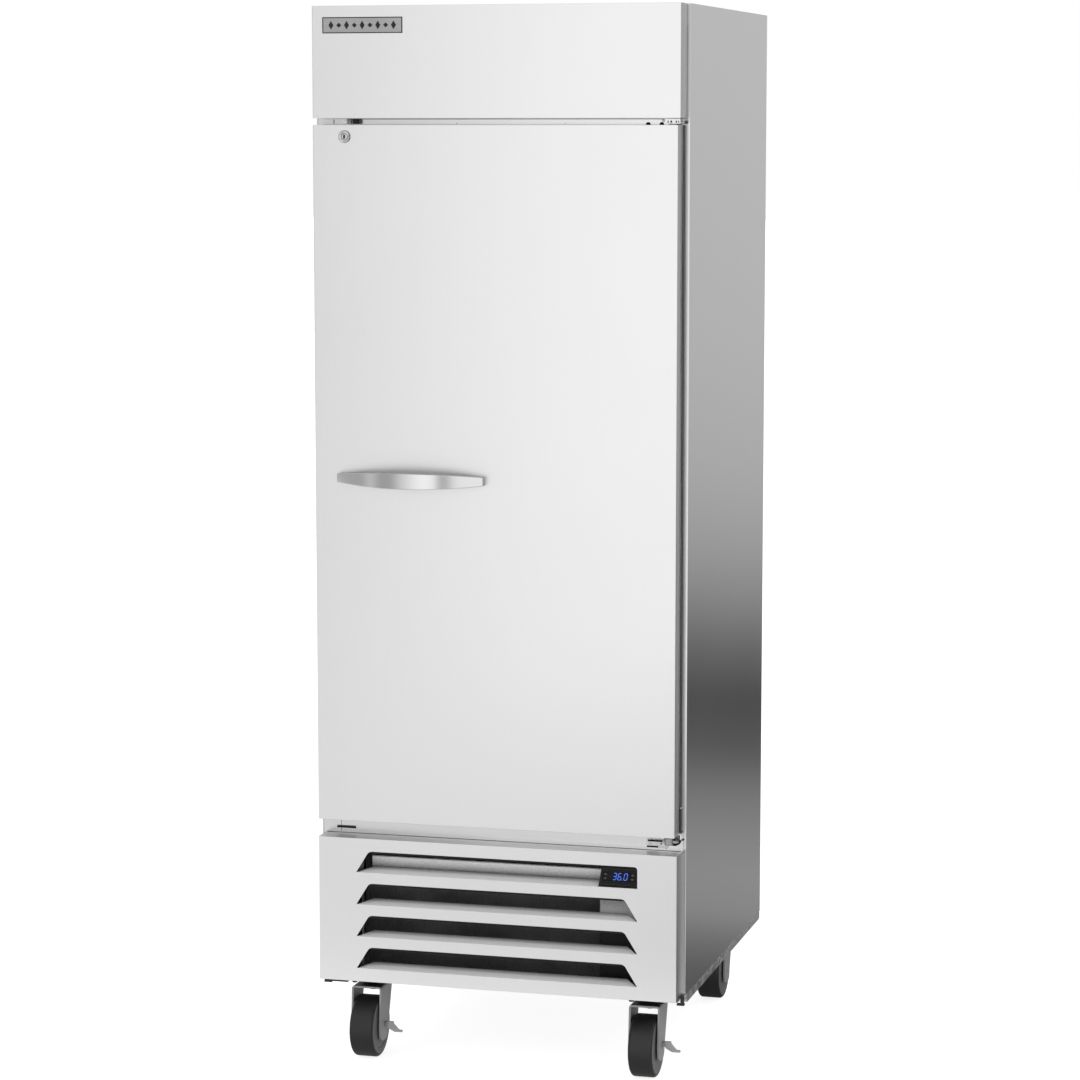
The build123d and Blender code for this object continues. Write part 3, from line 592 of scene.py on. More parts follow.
def louvre_outline(low, square_right):
    """Opening with slanted ends and rounded upper corners, as (x, z) points."""
    high = low + LOUVRE_H
    right_high = LOUVRE_WIDE if square_right else LOUVRE_NARROW
    corners = [(-LOUVRE_WIDE, low), (LOUVRE_WIDE, low), (right_high, high), (-LOUVRE_NARROW, high)]
    points = [corners[0], corners[1]]
    for index in (2, 3):
        spot = Vector(corners[index])
        before = (Vector(corners[index - 1]) - spot).normalized()
        after = (Vector(corners[(index + 1) % 4]) - spot).normalized()
        start, end = spot + before * 0.0075, spot + after * 0.0075
        for step in range(7):
            t = step / 6
            points.append(tuple((1 - t) ** 2 * start + 2 * t * (1 - t) * spot + t ** 2 * end))
    return points


def flap(shape, low, right_low, right_high):
    """Lanced flap: a tight bend off the panel, then a flat slope rising towards the back."""
    tilt = math.radians(12.5)
    bend = 0.0022
    line = []
    for step in range(7):
        turn = (math.pi / 2 - tilt) * step / 6
        line.append((FACE + 0.0006 + bend * (1 - math.cos(turn)), low - 0.0002 - bend * (1 - math.sin(turn))))
    y, z = line[-1]
    for reach in (0.004, 0.012, 0.022, 0.0315):
        line.append((y + reach * math.cos(tilt), z + reach * math.sin(tilt)))
    rings = []
    total = 0.033
    for y, z, dy, dz in strip(line, SHEET):
        share = min(1.0, max(0.0, (y - FACE) / total))
        left = -LOUVRE_WIDE + share * (LOUVRE_WIDE - LOUVRE_NARROW) + 0.0008
        right = right_low + share * (right_high - right_low) - 0.0008
        rings.append(section(left, right, y, z, dy, dz))
    # the flap takes the lance sheet, with painted shade deeper in
    shape.loft(rings, 1)


def front_grille():
    """Louvred panel with its flaps, the dark strips of painted shade over them, the sheets behind and the
    clips.
    """
    lo, hi = GRILLE
    panel = Shape("front", "lance", "return")
    panel.prism(rounded((lo.x, hi.x), (lo.y, hi.y), (0.0025, 0.0025, 0, 0)), lo.z, hi.z, "z")
    hollow = Shape("front")
    hollow.block((lo.x + SHEET, lo.y + SHEET, lo.z + SHEET), (hi.x - SHEET, hi.y + 0.01, hi.z - SHEET))
    holes = [hollow]
    lows = [LOUVRE_LOW + index * PITCH for index in range(4)]
    for low in lows:
        hole = Shape("front")
        hole.prism(louvre_outline(low, low == lows[-1]), lo.y - 0.01, lo.y + 0.01, "y")
        holes.append(hole)
    panel.cut(*holes)
    for low in lows[:-1]:
        flap(panel, low, LOUVRE_WIDE, LOUVRE_NARROW)
    flap(panel, lows[-1], CONTROL_LEFT - 0.001, CONTROL_LEFT + 0.004)
    panel.bm.normal_update()
    # painted shade: the panel's end faces take the darker return steel
    for face in panel.bm.faces:
        if abs(face.normal.x) > 0.7 and abs(face.calc_center_median().x) > 0.36:
            face.material_index = 2
    panel.piece("grille_panel", "cabinet", ["front_grille"], edge=0.0005)

    shade = Shape("shade")
    left = -LOUVRE_NARROW - 0.012
    # painted shade: black strips behind each opening's top edge stand for shade on the coil
    for low in lows:
        top = low + LOUVRE_H
        right = CONTROL_LEFT if low == lows[-1] else -left
        shade.block((left, FACE + 0.0018, top - 0.0042), (right, FACE + 0.0075, top + 0.010))
    shade.block((lo.x + 0.002, FRAME_Y - 0.0009, hi.z + 0.0001), (hi.x - 0.002, FRAME_Y, hi.z + 0.0006))
    for sign in (-1, 1):
        near, far = sign * 0.3545, sign * 0.3685
        seam = [(near, -0.3735), (near + 0.0004, -0.3735), (far + 0.0004, FRAME_Y), (far, FRAME_Y)]
        shade.prism(seam, hi.z - 0.0004, hi.z + 0.0002, "z")
    shade.piece("louvre_painted_shade_and_seams", "cabinet", edge=0.0008)

    apron = Shape("apron", "shade", "inner_flange")
    line = [(-0.3415, 0.3835), (-0.3345, 0.3865), (-0.3335, 0.3925), (-0.3335, 0.4265), (-0.3325, 0.4300),
            (-0.3290, 0.4312)]
    # the apron sheet carries painted shade, darker towards the bottom
    apron.loft([section(-0.272, 0.2115, *spot) for spot in strip(line, 0.001)])
    apron.block((0.2060, -0.3300, 0.330), (0.2950, -0.3288, 0.385), 2)
    # painted shade: black sheets behind the louvre ends stand for the shade there
    apron.block((0.2050, -0.3160, 0.184), (0.2990, -0.3148, 0.330), 1)
    apron.block((-0.3200, -0.3160, 0.184), (-0.3010, -0.3148, 0.385), 1)
    apron.piece("inner_apron", "cabinet", edge=0.0003)

    clips = Shape("black")
    clips.block((-0.3720, -0.3500, 0.1640), (-0.3560, -0.3040, 0.1690))
    clips.block((-0.3560, -0.3500, 0.1668), (-0.3210, -0.3040, 0.1688))
    clips.block((0.3610, -0.3560, 0.1735), (0.3720, -0.3400, 0.1768))
    clips.block((0.3735, -0.3380, 0.1640), (0.3792, -0.3262, 0.1815))
    clips.block((0.3640, -0.3300, 0.1600), (0.3792, -0.3200, 0.1640))
    clips.piece("grille_clips", "cabinet", edge=0.0006)


# ---------------------------------------------------------------- thermostat
SEGMENTS = {"3": "abgcd", "6": "afgedc", "0": "abcdef"}
KEYS = ("set", "defrost", "down", "up")
KEY_TRAVEL = 0.0008
KEY_PLAY = 0.0002


def digit(shape, text, x, z, width, height, y, mat):
    """Slanted seven-segment figures drawn as raised bars."""
    bar = 0.0010
    lean = 0.20
    spots = {
        "a": ((0, height), (width, height)),
        "b": ((width, height), (width, height / 2)),
        "c": ((width, height / 2), (width, 0)),
        "d": ((0, 0), (width, 0)),
        "e": ((0, 0), (0, height / 2)),
        "f": ((0, height / 2), (0, height)),
        "g": ((0, height / 2), (width, height / 2)),
    }
    for key in SEGMENTS[text]:
        (x0, z0), (x1, z1) = spots[key]
        start, end = Vector((x0, z0)), Vector((x1, z1))
        along = (end - start).normalized()
        start, end = start + along * bar * 0.5, end - along * bar * 0.5
        side = Vector((-along.y, along.x)) * bar * 0.62
        tip = along * bar * 0.55
        outline = [start + tip + side, end - tip + side, end, end - tip - side, start + tip - side, start]
        outline = [(x + p.x + lean * p.y, z + p.y) for p in outline]
        shape.prism(outline, y - 0.00015, y, "y", mat)


def controller():
    """Thermostat housing with moulded ribs, a recessed window, figures and keys."""
    lo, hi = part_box("control_housing")
    face = lo.y
    housing = Shape("shade", "lens")
    corner = 0.0076
    outline = [(lo.x, lo.z), (hi.x, lo.z)]
    for step in range(7):
        turn = math.radians(90 * step / 6)
        outline.append((hi.x - corner + corner * math.cos(turn), hi.z - corner + corner * math.sin(turn)))
    outline.append((lo.x + 0.007, hi.z))
    housing.prism(outline, face + 0.0012, hi.y, "y")
    window_x, window_z = (0.2215, 0.2895), (lo.z + 0.0118, lo.z + 0.0312)
    cut = Shape("black")
    cut.pad(window_x, window_z, (face - 0.01, face + 0.0042), 0.0015)
    for z in (lo.z + 0.0030, lo.z + 0.0085, hi.z - 0.0085, hi.z - 0.0030):
        cut.block((lo.x + 0.008, face - 0.01, z - 0.0004), (hi.x - 0.004, face + 0.0022, z + 0.0004))
    housing.cut(cut)
    pockets = Shape("shade")
    for name in KEYS:
        low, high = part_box("key_" + name)
        middle, half = (low + high) / 2, (high - low) / 2
        pocket = oval(middle.x, middle.z, half.x + KEY_PLAY, half.z + KEY_PLAY)
        pockets.prism(pocket, face - 0.01, high.y + KEY_TRAVEL + KEY_PLAY, "y")
    housing.cut(pockets)
    for left, z in ((lo.x + 0.004, lo.z + 0.0058), (lo.x + 0.009, hi.z - 0.0058)):
        housing.pad((left, hi.x - 0.0035), (z - 0.0021, z + 0.0021), (face + 0.0002, face + 0.002), 0.0009)
    inner_z = (window_z[0] + 0.001, window_z[1] - 0.001)
    housing.pad((0.2345, 0.2780), inner_z, (face + 0.0030, face + 0.0044), 0.001, 1)
    housing.piece("thermostat_housing", "cabinet", ["control_housing"], edge=0.0003)

    screen = Shape("lens", "digit")
    lo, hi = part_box("control_display")
    screen.pad((lo.x, hi.x), (lo.z, hi.z), (lo.y + 0.0004, hi.y), 0.001)
    y, base = lo.y + 0.00035, lo.z + 0.0022
    for text, x in (("3", 0.2420), ("6", 0.2520), ("0", 0.2643)):
        digit(screen, text, x, base, 0.0062, 0.0134, y, 1)
    screen.pad((0.2604, 0.2618), (base - 0.0004, base + 0.0011), (y - 0.00035, y), 0.0004, 1, 2)
    screen.piece("thermostat_screen", "cabinet", ["control_display"], edge=0.0001)

    for name in KEYS:
        lo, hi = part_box("key_" + name)
        middle, half = (lo + hi) / 2, (hi - lo) / 2
        rings = []
        for shrink, y in ((1.0, hi.y), (1.0, lo.y + 0.0007), (0.93, lo.y + 0.0003), (0.78, lo.y + 0.0001),
                          (0.45, lo.y + 0.00002)):
            ring = oval(middle.x, middle.z, half.x * shrink, half.z * shrink)
            rings.append([(x, y, z) for x, z in ring])
        key = Shape("key")
        key.loft(rings)
        key.piece("keycap_" + name, "key_" + name, ["key_" + name], edge=0.0)


# ---------------------------------------------------------------- door
def door():
    """Door skin with its liner edge, and a bellows gasket with a thin outer fin."""
    lo, hi = DOOR
    lip = FACE + 0.0305
    skin = Shape("front", "return", "shade")
    skin.prism(rounded((lo.x, hi.x), (lo.y, lip), (0.0025, 0.0025, 0, 0)), lo.z, hi.z, "z")
    skin.block((lo.x + 0.0010, lip - 0.001, lo.z + 0.0008), (hi.x - 0.0010, hi.y, hi.z - 0.0008), 1)
    holes = []
    for z in (lo.z, hi.z):
        hole = Shape("shade")
        hole.rod(0.007, -0.004, 0.004, (PIVOT[0], PIVOT[1], z), "z")
        holes.append(hole)
    slot = Shape("shade")
    cam_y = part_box("lock_cam")[0].y
    slot.block((-0.335, cam_y - 0.0013, hi.z - 0.012), (-0.3025, cam_y + 0.0055, hi.z + 0.01))
    bore = Shape("shade")
    bore.rod(0.0098, -0.01, 0.032, (-0.307, FACE, 1.886), "y")
    skin.cut(*holes, slot, bore)
    # painted shade: the door's side faces and its rear step take the darker return steel
    skin.paint(1, 0)
    skin.piece("door_shell", "door", ["door_skin", "door_foam"], edge=0.0005)
    finish_node("door_liner", "inner", 0.0004)
    finish_node("door_bushes", "plated", 0.0003)

    lo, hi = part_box("door_gasket")
    profile = [(0.000, 0.0), (0.000, 0.62), (0.0025, 0.80), (0.0025, 1.0), (0.0155, 1.0), (0.0165, 0.80),
               (0.0135, 0.62), (0.0165, 0.42), (0.0180, 0.18), (0.0180, 0.0)]
    seal = Shape("gasket")
    part = bmesh.new()
    loops = []
    for inset, share in profile:
        y = lo.y + share * (hi.y - lo.y)
        corners = rounded((lo.x + inset, hi.x - inset), (lo.z + inset, hi.z - inset), (0.006,) * 4, 4)
        loops.append([part.verts.new((x, y, z)) for x, z in corners])
    bridge(part, loops)
    bridge(part, [loops[-1], loops[0]])
    bmesh.ops.recalc_face_normals(part, faces=part.faces)
    seal.take(part)
    lo, hi = DOOR
    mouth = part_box("front_frame")[0].y - 0.0007
    low_y, outer = DOOR_BACK + 0.0002, 0.0004
    for inner, high_y in ((0.0204, DOOR_BACK + 0.0014), (0.0016, mouth)):
        seal.block((lo.x + outer, low_y, lo.z + outer), (lo.x + inner, high_y, hi.z - outer))
        seal.block((hi.x - inner, low_y, lo.z + outer), (hi.x - outer, high_y, hi.z - outer))
        seal.block((lo.x + inner, low_y, lo.z + outer), (hi.x - inner, high_y, lo.z + inner))
        seal.block((lo.x + inner, low_y, hi.z - inner), (hi.x - inner, high_y, hi.z - outer))
    seal.piece("door_seal", "door", ["door_gasket"], edge=0.0004)


def handle():
    """Arched pull: tall and proud in the middle, slim where it meets the door."""
    lo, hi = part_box("door_handle")
    middle = Vector(((lo.x + hi.x) / 2, 0.0, (lo.z + hi.z) / 2))
    half = (hi.x - lo.x) / 2
    out = FACE - lo.y
    stations = 72
    rings = []
    for step in range(stations + 1):
        t = -1 + 2 * step / stations
        arch = 1 - t * t
        front = 0.0186 + (out - 0.0186) * arch
        height = 0.0172 + 0.0142 * arch
        foot = max(0.0, (abs(t) - 0.72) / 0.28)
        back = (front - 0.0150) * (1 - foot * foot * (3 - 2 * foot))
        corners = rounded((back, front), (middle.z - height / 2, middle.z + height / 2), (0.0012,) * 4, 3)
        rings.append([(middle.x + half * t, FACE - depth, z) for depth, z in corners])
    bar = Shape("satin", "plated")
    bar.loft(rings)
    # painted shade: the top, bottom and end faces take the darker plated finish
    bar.paint(1, 2)
    bar.paint(1, 0, 0.6)
    bar.piece("pull_handle", "door", ["door_handle"], edge=0.0, angle=40.0)


def lock():
    """Cylinder lock: dished ring in a dark rim of painted shadow, plug with a keyway painted dark inside, and
    the cam behind.
    """
    lo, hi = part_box("lock_barrel")
    centre = Vector(((lo.x + hi.x) / 2, FACE, (lo.z + hi.z) / 2))
    ring = Shape("cylinder", "shade")
    proud = lo.y - FACE
    bore, deep = 0.0071, 0.0235
    profile = [
        (bore, deep), (bore, proud + 0.0016), (0.0078, proud + 0.0009), (0.0094, proud + 0.0004),
        (0.0104, proud), (0.0111, proud + 0.0002), (0.0114, proud + 0.0006), (0.0098, proud + 0.0008),
        (0.0098, deep), (bore, deep),
    ]
    ring.lathe(profile, centre, "y", 0, 56)
    # painted shadow: a black ring round the bezel stands for the shade gap at its edge
    rim = [(0.0099, proud + 0.0009), (0.0115, proud + 0.0007), (0.0119, proud + 0.0013), (0.0120, 0.0),
           (0.0099, 0.0), (0.0099, proud + 0.0009)]
    ring.lathe(rim, centre, "y", 1, 56)
    ring.piece("lock_ring", "door", ["lock_barrel"], edge=0.0)

    lo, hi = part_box("lock_plug")
    plug = Shape("cylinder", "shade")
    front, back = lo.y - FACE, hi.y - FACE
    profile = [(0.0, front + 0.0003), (0.0050, front + 0.0002), (0.0062, front + 0.0003),
               (0.0069, front + 0.0012), (0.0069, back), (0.0, back)]
    plug.lathe(profile, centre, "y")
    keyway = Shape("shade")
    keyway.pad((centre.x - 0.0019, centre.x + 0.0019), (centre.z - 0.0042, centre.z + 0.0042),
               (lo.y - 0.01, lo.y + 0.009), 0.0017, steps=4)
    plug.cut(keyway)
    # painted shade: a black block fills the keyway close behind the face
    plug.block((centre.x - 0.0020, lo.y + 0.0007, centre.z - 0.0045),
               (centre.x + 0.0020, lo.y + 0.0088, centre.z + 0.0045), 1)
    plug.piece("lock_core", "lock_plug", ["lock_plug"], edge=0.0002)
    finish_node("lock_cam", "plated", 0.0004)


def gap_hardware():
    """What shows in the gaps above and below the door: strike, switch, hinges and screws."""
    lo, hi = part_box("lock_strike")
    strike = Shape("white")
    left = lo.x + 0.006
    strike.block((left, lo.y, hi.z - 0.002), hi)
    strike.block((left, lo.y, lo.z), (hi.x, lo.y + 0.002, hi.z - 0.001))
    strike.block((left, hi.y - 0.002, lo.z), (hi.x, hi.y, hi.z - 0.001))
    strike.piece("strike_plate", "cabinet", ["lock_strike"], edge=0.0004)

    lo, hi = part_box("door_switch")
    switch = Shape("black")
    switch.pad((lo.x, hi.x), (lo.z, hi.z), (lo.y + 0.001, hi.y), 0.001)
    switch.block((lo.x + 0.003, lo.y, lo.z + 0.002), (hi.x - 0.003, lo.y + 0.002, hi.z - 0.002))
    switch.piece("reed_switch", "cabinet", ["door_switch"], edge=0.0004)

    heads = Shape("plated", "shade", "bright")
    for x in (0.309, 0.325):
        for z in (0.500, 0.486):
            screw_head(heads, (x, FRAME_Y - 0.003, z), -1, 2, 0.0032, 0.0014)
    for x in (-0.300, 0.300):
        for z in (0.230, 0.455):
            screw_head(heads, (x, REAR - 0.0085, z), 1, 0, height=0.002)
    for x in (0.2980, 0.3250):
        screw_head(heads, (x, FRAME_Y, 1.9100), -1, 1, 0.0046, 0.002)
    heads.piece("screw_heads", "cabinet", ["panel_screws"], edge=0.0)

    hinges()


def hinges():
    """Pivot brackets: a plate, an arm with its knuckle and pin, and the small parts round them."""
    face = FRAME_Y - 0.003
    for name, low in (("bottom_hinge", True), ("top_hinge", False)):
        bracket = Shape("bright", "shade", "plated", "key")
        if low:
            plate_x, plate_z, arm_x, arm_z = (0.3010, 0.3445), (0.4800, 0.4965), 0.339, 0.496
            hub, pin = (0.4920, 0.5060), (0.5000, 0.5400)
        else:
            plate_x, plate_z, arm_x, arm_z = (0.3340, 0.3690), (1.9125, 1.9210), 0.332, 1.915
            hub, pin = (1.9110, 1.9210), (1.8790, 1.9120)
        bracket.pad(plate_x, plate_z, (face, FRAME_Y), 0.0012)
        bracket.block((arm_x, PIVOT[1], arm_z), (0.368, FRAME_Y, arm_z + 0.005), 2)
        turned = ((hub, 0.0076, 0.0084, 0.0008, 40), (pin, 0.0048, 0.0060, 0.0012, 32))
        for (bottom, top), inner, outer, ease, steps in turned:
            profile = [(0.0, bottom), (inner, bottom), (outer, bottom + ease),
                       (outer, top - ease), (inner, top), (0.0, top)]
            bracket.lathe(profile, PIVOT, "z", 2, steps)
        if low:
            bracket.block((0.3690, -0.3330, 0.5120), (0.3722, FRAME_Y, 0.5620), 3)
            bracket.block((0.3692, -0.3332, 0.5622), (0.3724, FRAME_Y, 0.5634))
            stud = [(0.0, -0.004), (0.0014, -0.004), (0.0020, -0.003), (0.0020, 0.0), (0.0, 0.0)]
            for z, mat in ((0.5140, 2), (0.4985, 1)):
                bracket.lathe(stud, (0.3752, FRAME_Y, z), "y", mat, 20)
            # painted shadow: black lines along the plate's top and bottom edges
            for shadow_line_x, shadow_line_z in (((0.3035, 0.3440), (0.4918, 0.4958)), ((0.3015, 0.3250), (0.4800, 0.4832))):
                bracket.pad(shadow_line_x, shadow_line_z, (face - 0.0006, face + 0.001), 0.0008, 1, 2)
            bracket.rod(0.0016, 0.0, -0.0006, (0.3312, face, 0.4885), "y", 1, 16)
            bend = [(0.3485, 0.4880), (0.3600, 0.4870), (0.3670, 0.4905), (0.3695, 0.4960), (0.3690, 0.5060)]
            bracket.tube([(x, face - 0.0006, z) for x, z in bend], 0.0019, 1, 10)
            bracket.block((0.3700, -0.3345, 0.4990), (0.3722, FRAME_Y, 0.5110))
        else:
            bracket.block((0.3400, -0.3655, 1.9112), (0.3705, -0.3640, 1.9210))
            for x, wide in ((0.3457, 0.0018), (0.3510, 0.0032), (0.3615, 0.0024), (0.3665, 0.0018)):
                bracket.block((x, -0.3660, 1.9130), (x + wide, -0.3650, 1.9172), 1)
            stud = [(0.0, -0.006), (0.0025, -0.006), (0.0034, -0.004), (0.0034, 0.0), (0.0, 0.0)]
            bracket.lathe(stud, (0.3740, FRAME_Y, 1.9140), "y", 3, 24)
        bracket.piece(name + "_bracket", "cabinet", [name], edge=0.0004)


# ---------------------------------------------------------------- casters
CASTER_X = 0.2935
TRAIL = 0.032
WHEEL_R = 0.0635
BRAKE_PIN = Vector((0.0366, 0.003, 0.068))


def fork(name, x, axle_y, brake):
    """Strap bent into two tapering legs with rounded ends, its axle and its race."""
    radius, eye, sheet, gap = WHEEL_R, 0.0255, 0.004, 0.028
    axle = (x, axle_y, radius)
    top, bend = 0.1497, 0.006
    crown = (axle_y - 0.019, axle_y + 0.056)
    shape = Shape("plated", "shade", "leg")
    deep = eye + 0.003

    def extent(z):
        """Front and back edge of a leg at height z, along the tangents from eye to crown."""
        edges = []
        for sign, corner in ((-1, crown[0]), (1, crown[1])):
            away = Vector((corner - axle_y, top - radius))
            direction = math.atan2(away.y, away.x) - sign * math.acos(eye / away.length)
            touch = Vector((axle_y + eye * math.cos(direction), radius + eye * math.sin(direction)))
            if z >= touch.y:
                share = (z - touch.y) / (top - touch.y)
                edges.append(touch.x + share * (corner - touch.x))
            else:
                drop = min(1.0, max(0.0, radius - z) / deep)
                edges.append(axle_y + sign * eye * max(0.0, 1 - drop ** 3) ** (1 / 3))
        return edges

    path = []
    outer = gap + sheet
    lowest = radius - deep
    for step in range(15):
        path.append((-outer, radius - deep * math.sin(math.pi / 2 * (1 - step / 14))))
    for z in (0.075, 0.090, 0.110, 0.130, top - bend):
        path.append((-outer, z))
    for step in range(1, 7):
        turn = math.pi / 2 * step / 6
        path.append((-outer + bend - bend * math.cos(turn), top - bend + bend * math.sin(turn)))
    path += [(-0.014, top), (0.0, top), (0.014, top)]
    path += [(-px, pz) for px, pz in reversed(path[:-3])]
    rings = []
    for px, pz, dx, dz in strip(path, sheet):
        low, high = extent(min(pz, top - 0.0001))
        if pz <= lowest + 1e-6:
            low, high = axle_y - 0.002, axle_y + 0.002
        here, inside = x + px, x + px + dx
        rings.append([(here, low, pz), (here, high, pz), (inside, high, pz + dz), (inside, low, pz + dz)])
    shape.loft(rings)
    # painted shade: side and edge faces take the darker fork zinc, the crown stays plated
    shape.paint(2, 0)
    shape.paint(2, 1)
    for sign in (-1, 1):
        face = sign * outer
        proud, seat = face + sign * 0.0004, face - sign * 0.002
        ring = [(0.0031, proud), (0.0048, proud), (0.0052, face),
                (0.0052, seat), (0.0031, seat), (0.0031, proud)]
        shape.lathe(ring, axle, "x", 0, 32)
        shape.rod(0.0031, face - sign * 0.0008, face - sign * 0.003, axle, "x", 1, 24)
    shape.rod(0.005, -gap, gap, axle, "x", 0, 24)
    if brake:
        pin = BRAKE_PIN + Vector((x, axle_y, 0.0))
        for low in (pin.y - 0.00455, pin.y + 0.00255):
            ear_x, ear_z = (x + outer - 0.0005, pin.x + 0.004), (pin.z - 0.004, pin.z + 0.004)
            shape.prism(rounded(ear_x, ear_z, (0, 0.0038, 0.0038, 0), 6), low, low + 0.002, "y")
        shape.rod(0.0019, -0.0052, 0.0052, pin, "y", 0, 20)
    shape.piece(name + "_fork_strap", name + "_caster", [name + "_fork"], angle=40.0)


def wheel(name, x, axle_y):
    """Solid rubber wheel on a moulded core with nearly flush sides and a hub."""
    shape = Shape("tread", "hub", "plated", "shade")
    axle = (x, axle_y, WHEEL_R)
    half = 0.025
    tread = []
    for step in range(9):
        turn = math.pi / 2 * step / 8
        tread.append((0.0565 + 0.007 * math.sin(turn), half - 0.007 + 0.007 * math.cos(turn)))
    tread += [(WHEEL_R, 0.0)]
    mirror = [(r, -h) for r, h in reversed(tread[:-1])]
    shape.lathe(tread + mirror, axle, "x", 0, 96)
    core = [(0.0125, 0.0268), (0.0125, 0.0248), (0.0170, 0.0240), (0.0178, 0.0234), (0.0190, 0.0240),
            (0.0440, 0.0240), (0.0448, 0.0236), (0.0456, half - 0.0004), (0.0500, half), (0.0565, half)]
    hub = [(0.0051, 0.0270), (0.0115, 0.0270), (0.0122, 0.0264), (0.0125, 0.0232)]
    for sign in (-1, 1):
        shape.lathe([(r, sign * h) for r, h in core], axle, "x", 1, 96)
        shape.lathe([(r, sign * h) for r, h in hub], axle, "x", 2)
    shape.lathe([(0.00505, -0.027), (0.00505, 0.027)], axle, "x", 3, 32)
    shape.piece(name + "_wheel_tyre", name + "_wheel", [name + "_wheel"], edge=0.0)


def brake(name, x, axle_y):
    """Stepped toe lever, pressed from plate; its outline is in millimetres from the pin."""
    pin = BRAKE_PIN + Vector((x, axle_y, 0.0))
    half = 0.00225
    points = [(0, 5.8), (13.6, 5.8), (14.3, 5.2), (14.3, 2.6), (14.9, 1.2), (25.2, -10.2), (26.6, -11),
              (32.6, -11), (33.2, -11.6), (33.2, -15.0), (32.6, -15.7), (16.4, -15.7), (15.2, -15.2),
              (3.6, -9.0), (1.5, -6.0), (-1, -3.8)]
    lever = Shape("lever")
    lever.prism([(pin.x + a / 1000, pin.z + b / 1000) for a, b in points], pin.y - half, pin.y + half, "y")
    knuckle = [(0.0021, -half), (0.0040, -half), (0.0040, half), (0.0021, half), (0.0021, -half)]
    lever.lathe(knuckle, pin, "y", 0, 32)
    lever.piece(name + "_toe_lever", name + "_brake", [name + "_brake"], edge=0.0004)


def casters():
    """Forks, wheels and brakes, and the plates with their races, king pins and bolt heads."""
    plates = Shape("plated", "shade")
    race = [(0.0, 0.1585), (0.0215, 0.1585), (0.0240, 0.1565), (0.0240, 0.1535), (0.0232, 0.1525),
            (0.0232, 0.1518), (0.0240, 0.1510), (0.0236, 0.1500), (0.0, 0.1500)]
    king_pin = [(0.0, 0.133), (0.0085, 0.133), (0.0095, 0.135), (0.0095, 0.1415), (0.006, 0.1440),
                (0.006, 0.153), (0.0, 0.153)]
    bolt = [(0.0, 0.1525), (0.0048, 0.1525), (0.0057, 0.1535), (0.0057, 0.158), (0.0, 0.158)]
    for row in ("front", "rear"):
        for side, x in (("left", -CASTER_X), ("right", CASTER_X)):
            name = row + "_" + side
            lo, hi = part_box(name + "_wheel")
            axle_y = (lo.y + hi.y) / 2
            fork(name, x, axle_y, row == "front")
            wheel(name, x, axle_y)
            if row == "front":
                brake(name, x, axle_y)
            y = axle_y + TRAIL
            plate = rounded((x - 0.040, x + 0.040), (y - 0.044, y + 0.044), (0.008,) * 4, 6)
            plates.prism(plate, 0.158, 0.162, "z")
            plates.lathe(race, (x, y, 0.0), "z", 1, 56)
            plates.lathe(king_pin, (x, y, 0.0), "z", 0, 32)
            # painted shade: bolt heads in black paint, as they sit in shade under the cabinet
            for sx in (-1, 1):
                for sy in (-1, 1):
                    plates.lathe(bolt, (x + sx * 0.031, y + sy * 0.034, 0.0), "z", 1, 6)
    plates.piece("caster_mounts", "cabinet", ["caster_plates"], edge=0.0003, angle=45.0)


# ---------------------------------------------------------------- inside
def fan_rotor(name, node, hub_r, tip_r, blades, centre, depth):
    """Axial rotor with swept, twisted blades."""
    shape = Shape("black", "plated")
    x, y, z = centre
    rear = y + depth
    hub = [(0.0, y + 0.0010), (hub_r * 0.5, y + 0.0006), (hub_r * 0.86, y), (hub_r, y + 0.0022),
           (hub_r, rear), (hub_r - 0.002, rear), (0.0, rear)]
    foil = ((-0.5, 0.0), (-0.25, 0.0009), (0.1, 0.0011), (0.5, 0.0), (0.1, -0.0007), (-0.25, -0.0006))
    shape.lathe(hub, (x, 0.0, z), "y", 0, 40)
    for blade in range(blades):
        rings = []
        for step in range(9):
            t = step / 8
            radius = hub_r - 0.002 + t * (tip_r - hub_r + 0.002 - 0.0008)
            chord = (0.40 + 0.28 * t) * hub_r * 1.9
            pitch = math.radians(42 - 20 * t)
            sweep = blade * math.tau / blades + 0.30 * t * t
            ring = []
            for along, thick in foil:
                swing = sweep + along * chord * math.cos(pitch) / radius
                dy = along * chord * math.sin(pitch) + thick
                dy = max(-depth / 2 + 0.001, min(depth / 2 - 0.001, dy))
                ring.append((x + radius * math.cos(swing), y + depth / 2 + dy, z + radius * math.sin(swing)))
            rings.append(ring)
        shape.loft(rings)
    shape.rod(0.004, rear - 0.001, rear + 0.0062, (x, 0.0, z), "y", 1, 20)
    shape.piece(name + "_rotor", name, [node], edge=0.0002)


def uprights():
    """Shelf uprights with their rows of slots drawn as black inlays of painted shade, and the shelf clips."""
    lo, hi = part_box("shelf_uprights")
    shape = Shape("inner", "shade")
    width, depth = 0.025, 0.009
    for sign in (-1, 1):
        for y in (-0.190, 0.280):
            wall = sign * 0.324
            inner = wall - sign * depth
            low_x, high_x = sorted((wall, inner))
            shape.block((low_x, y, lo.z), (high_x, y + width, hi.z))
            x0, x1 = sorted((inner - sign * 0.0002, inner + sign * 0.001))
            count = int((hi.z - lo.z - 0.04) / 0.0254)
            for step in range(count):
                z = lo.z + 0.02 + step * 0.0254
                # painted shade: black inlays stand for the dark seen through each slot
                shape.block((x0, y + 0.0085, z), (x1, y + 0.0165, z + 0.006), 1)
    shape.piece("slotted_uprights", "cabinet", ["shelf_uprights"], edge=0.0004)
    finish_node("shelf_clips", "plated", 0.0008)


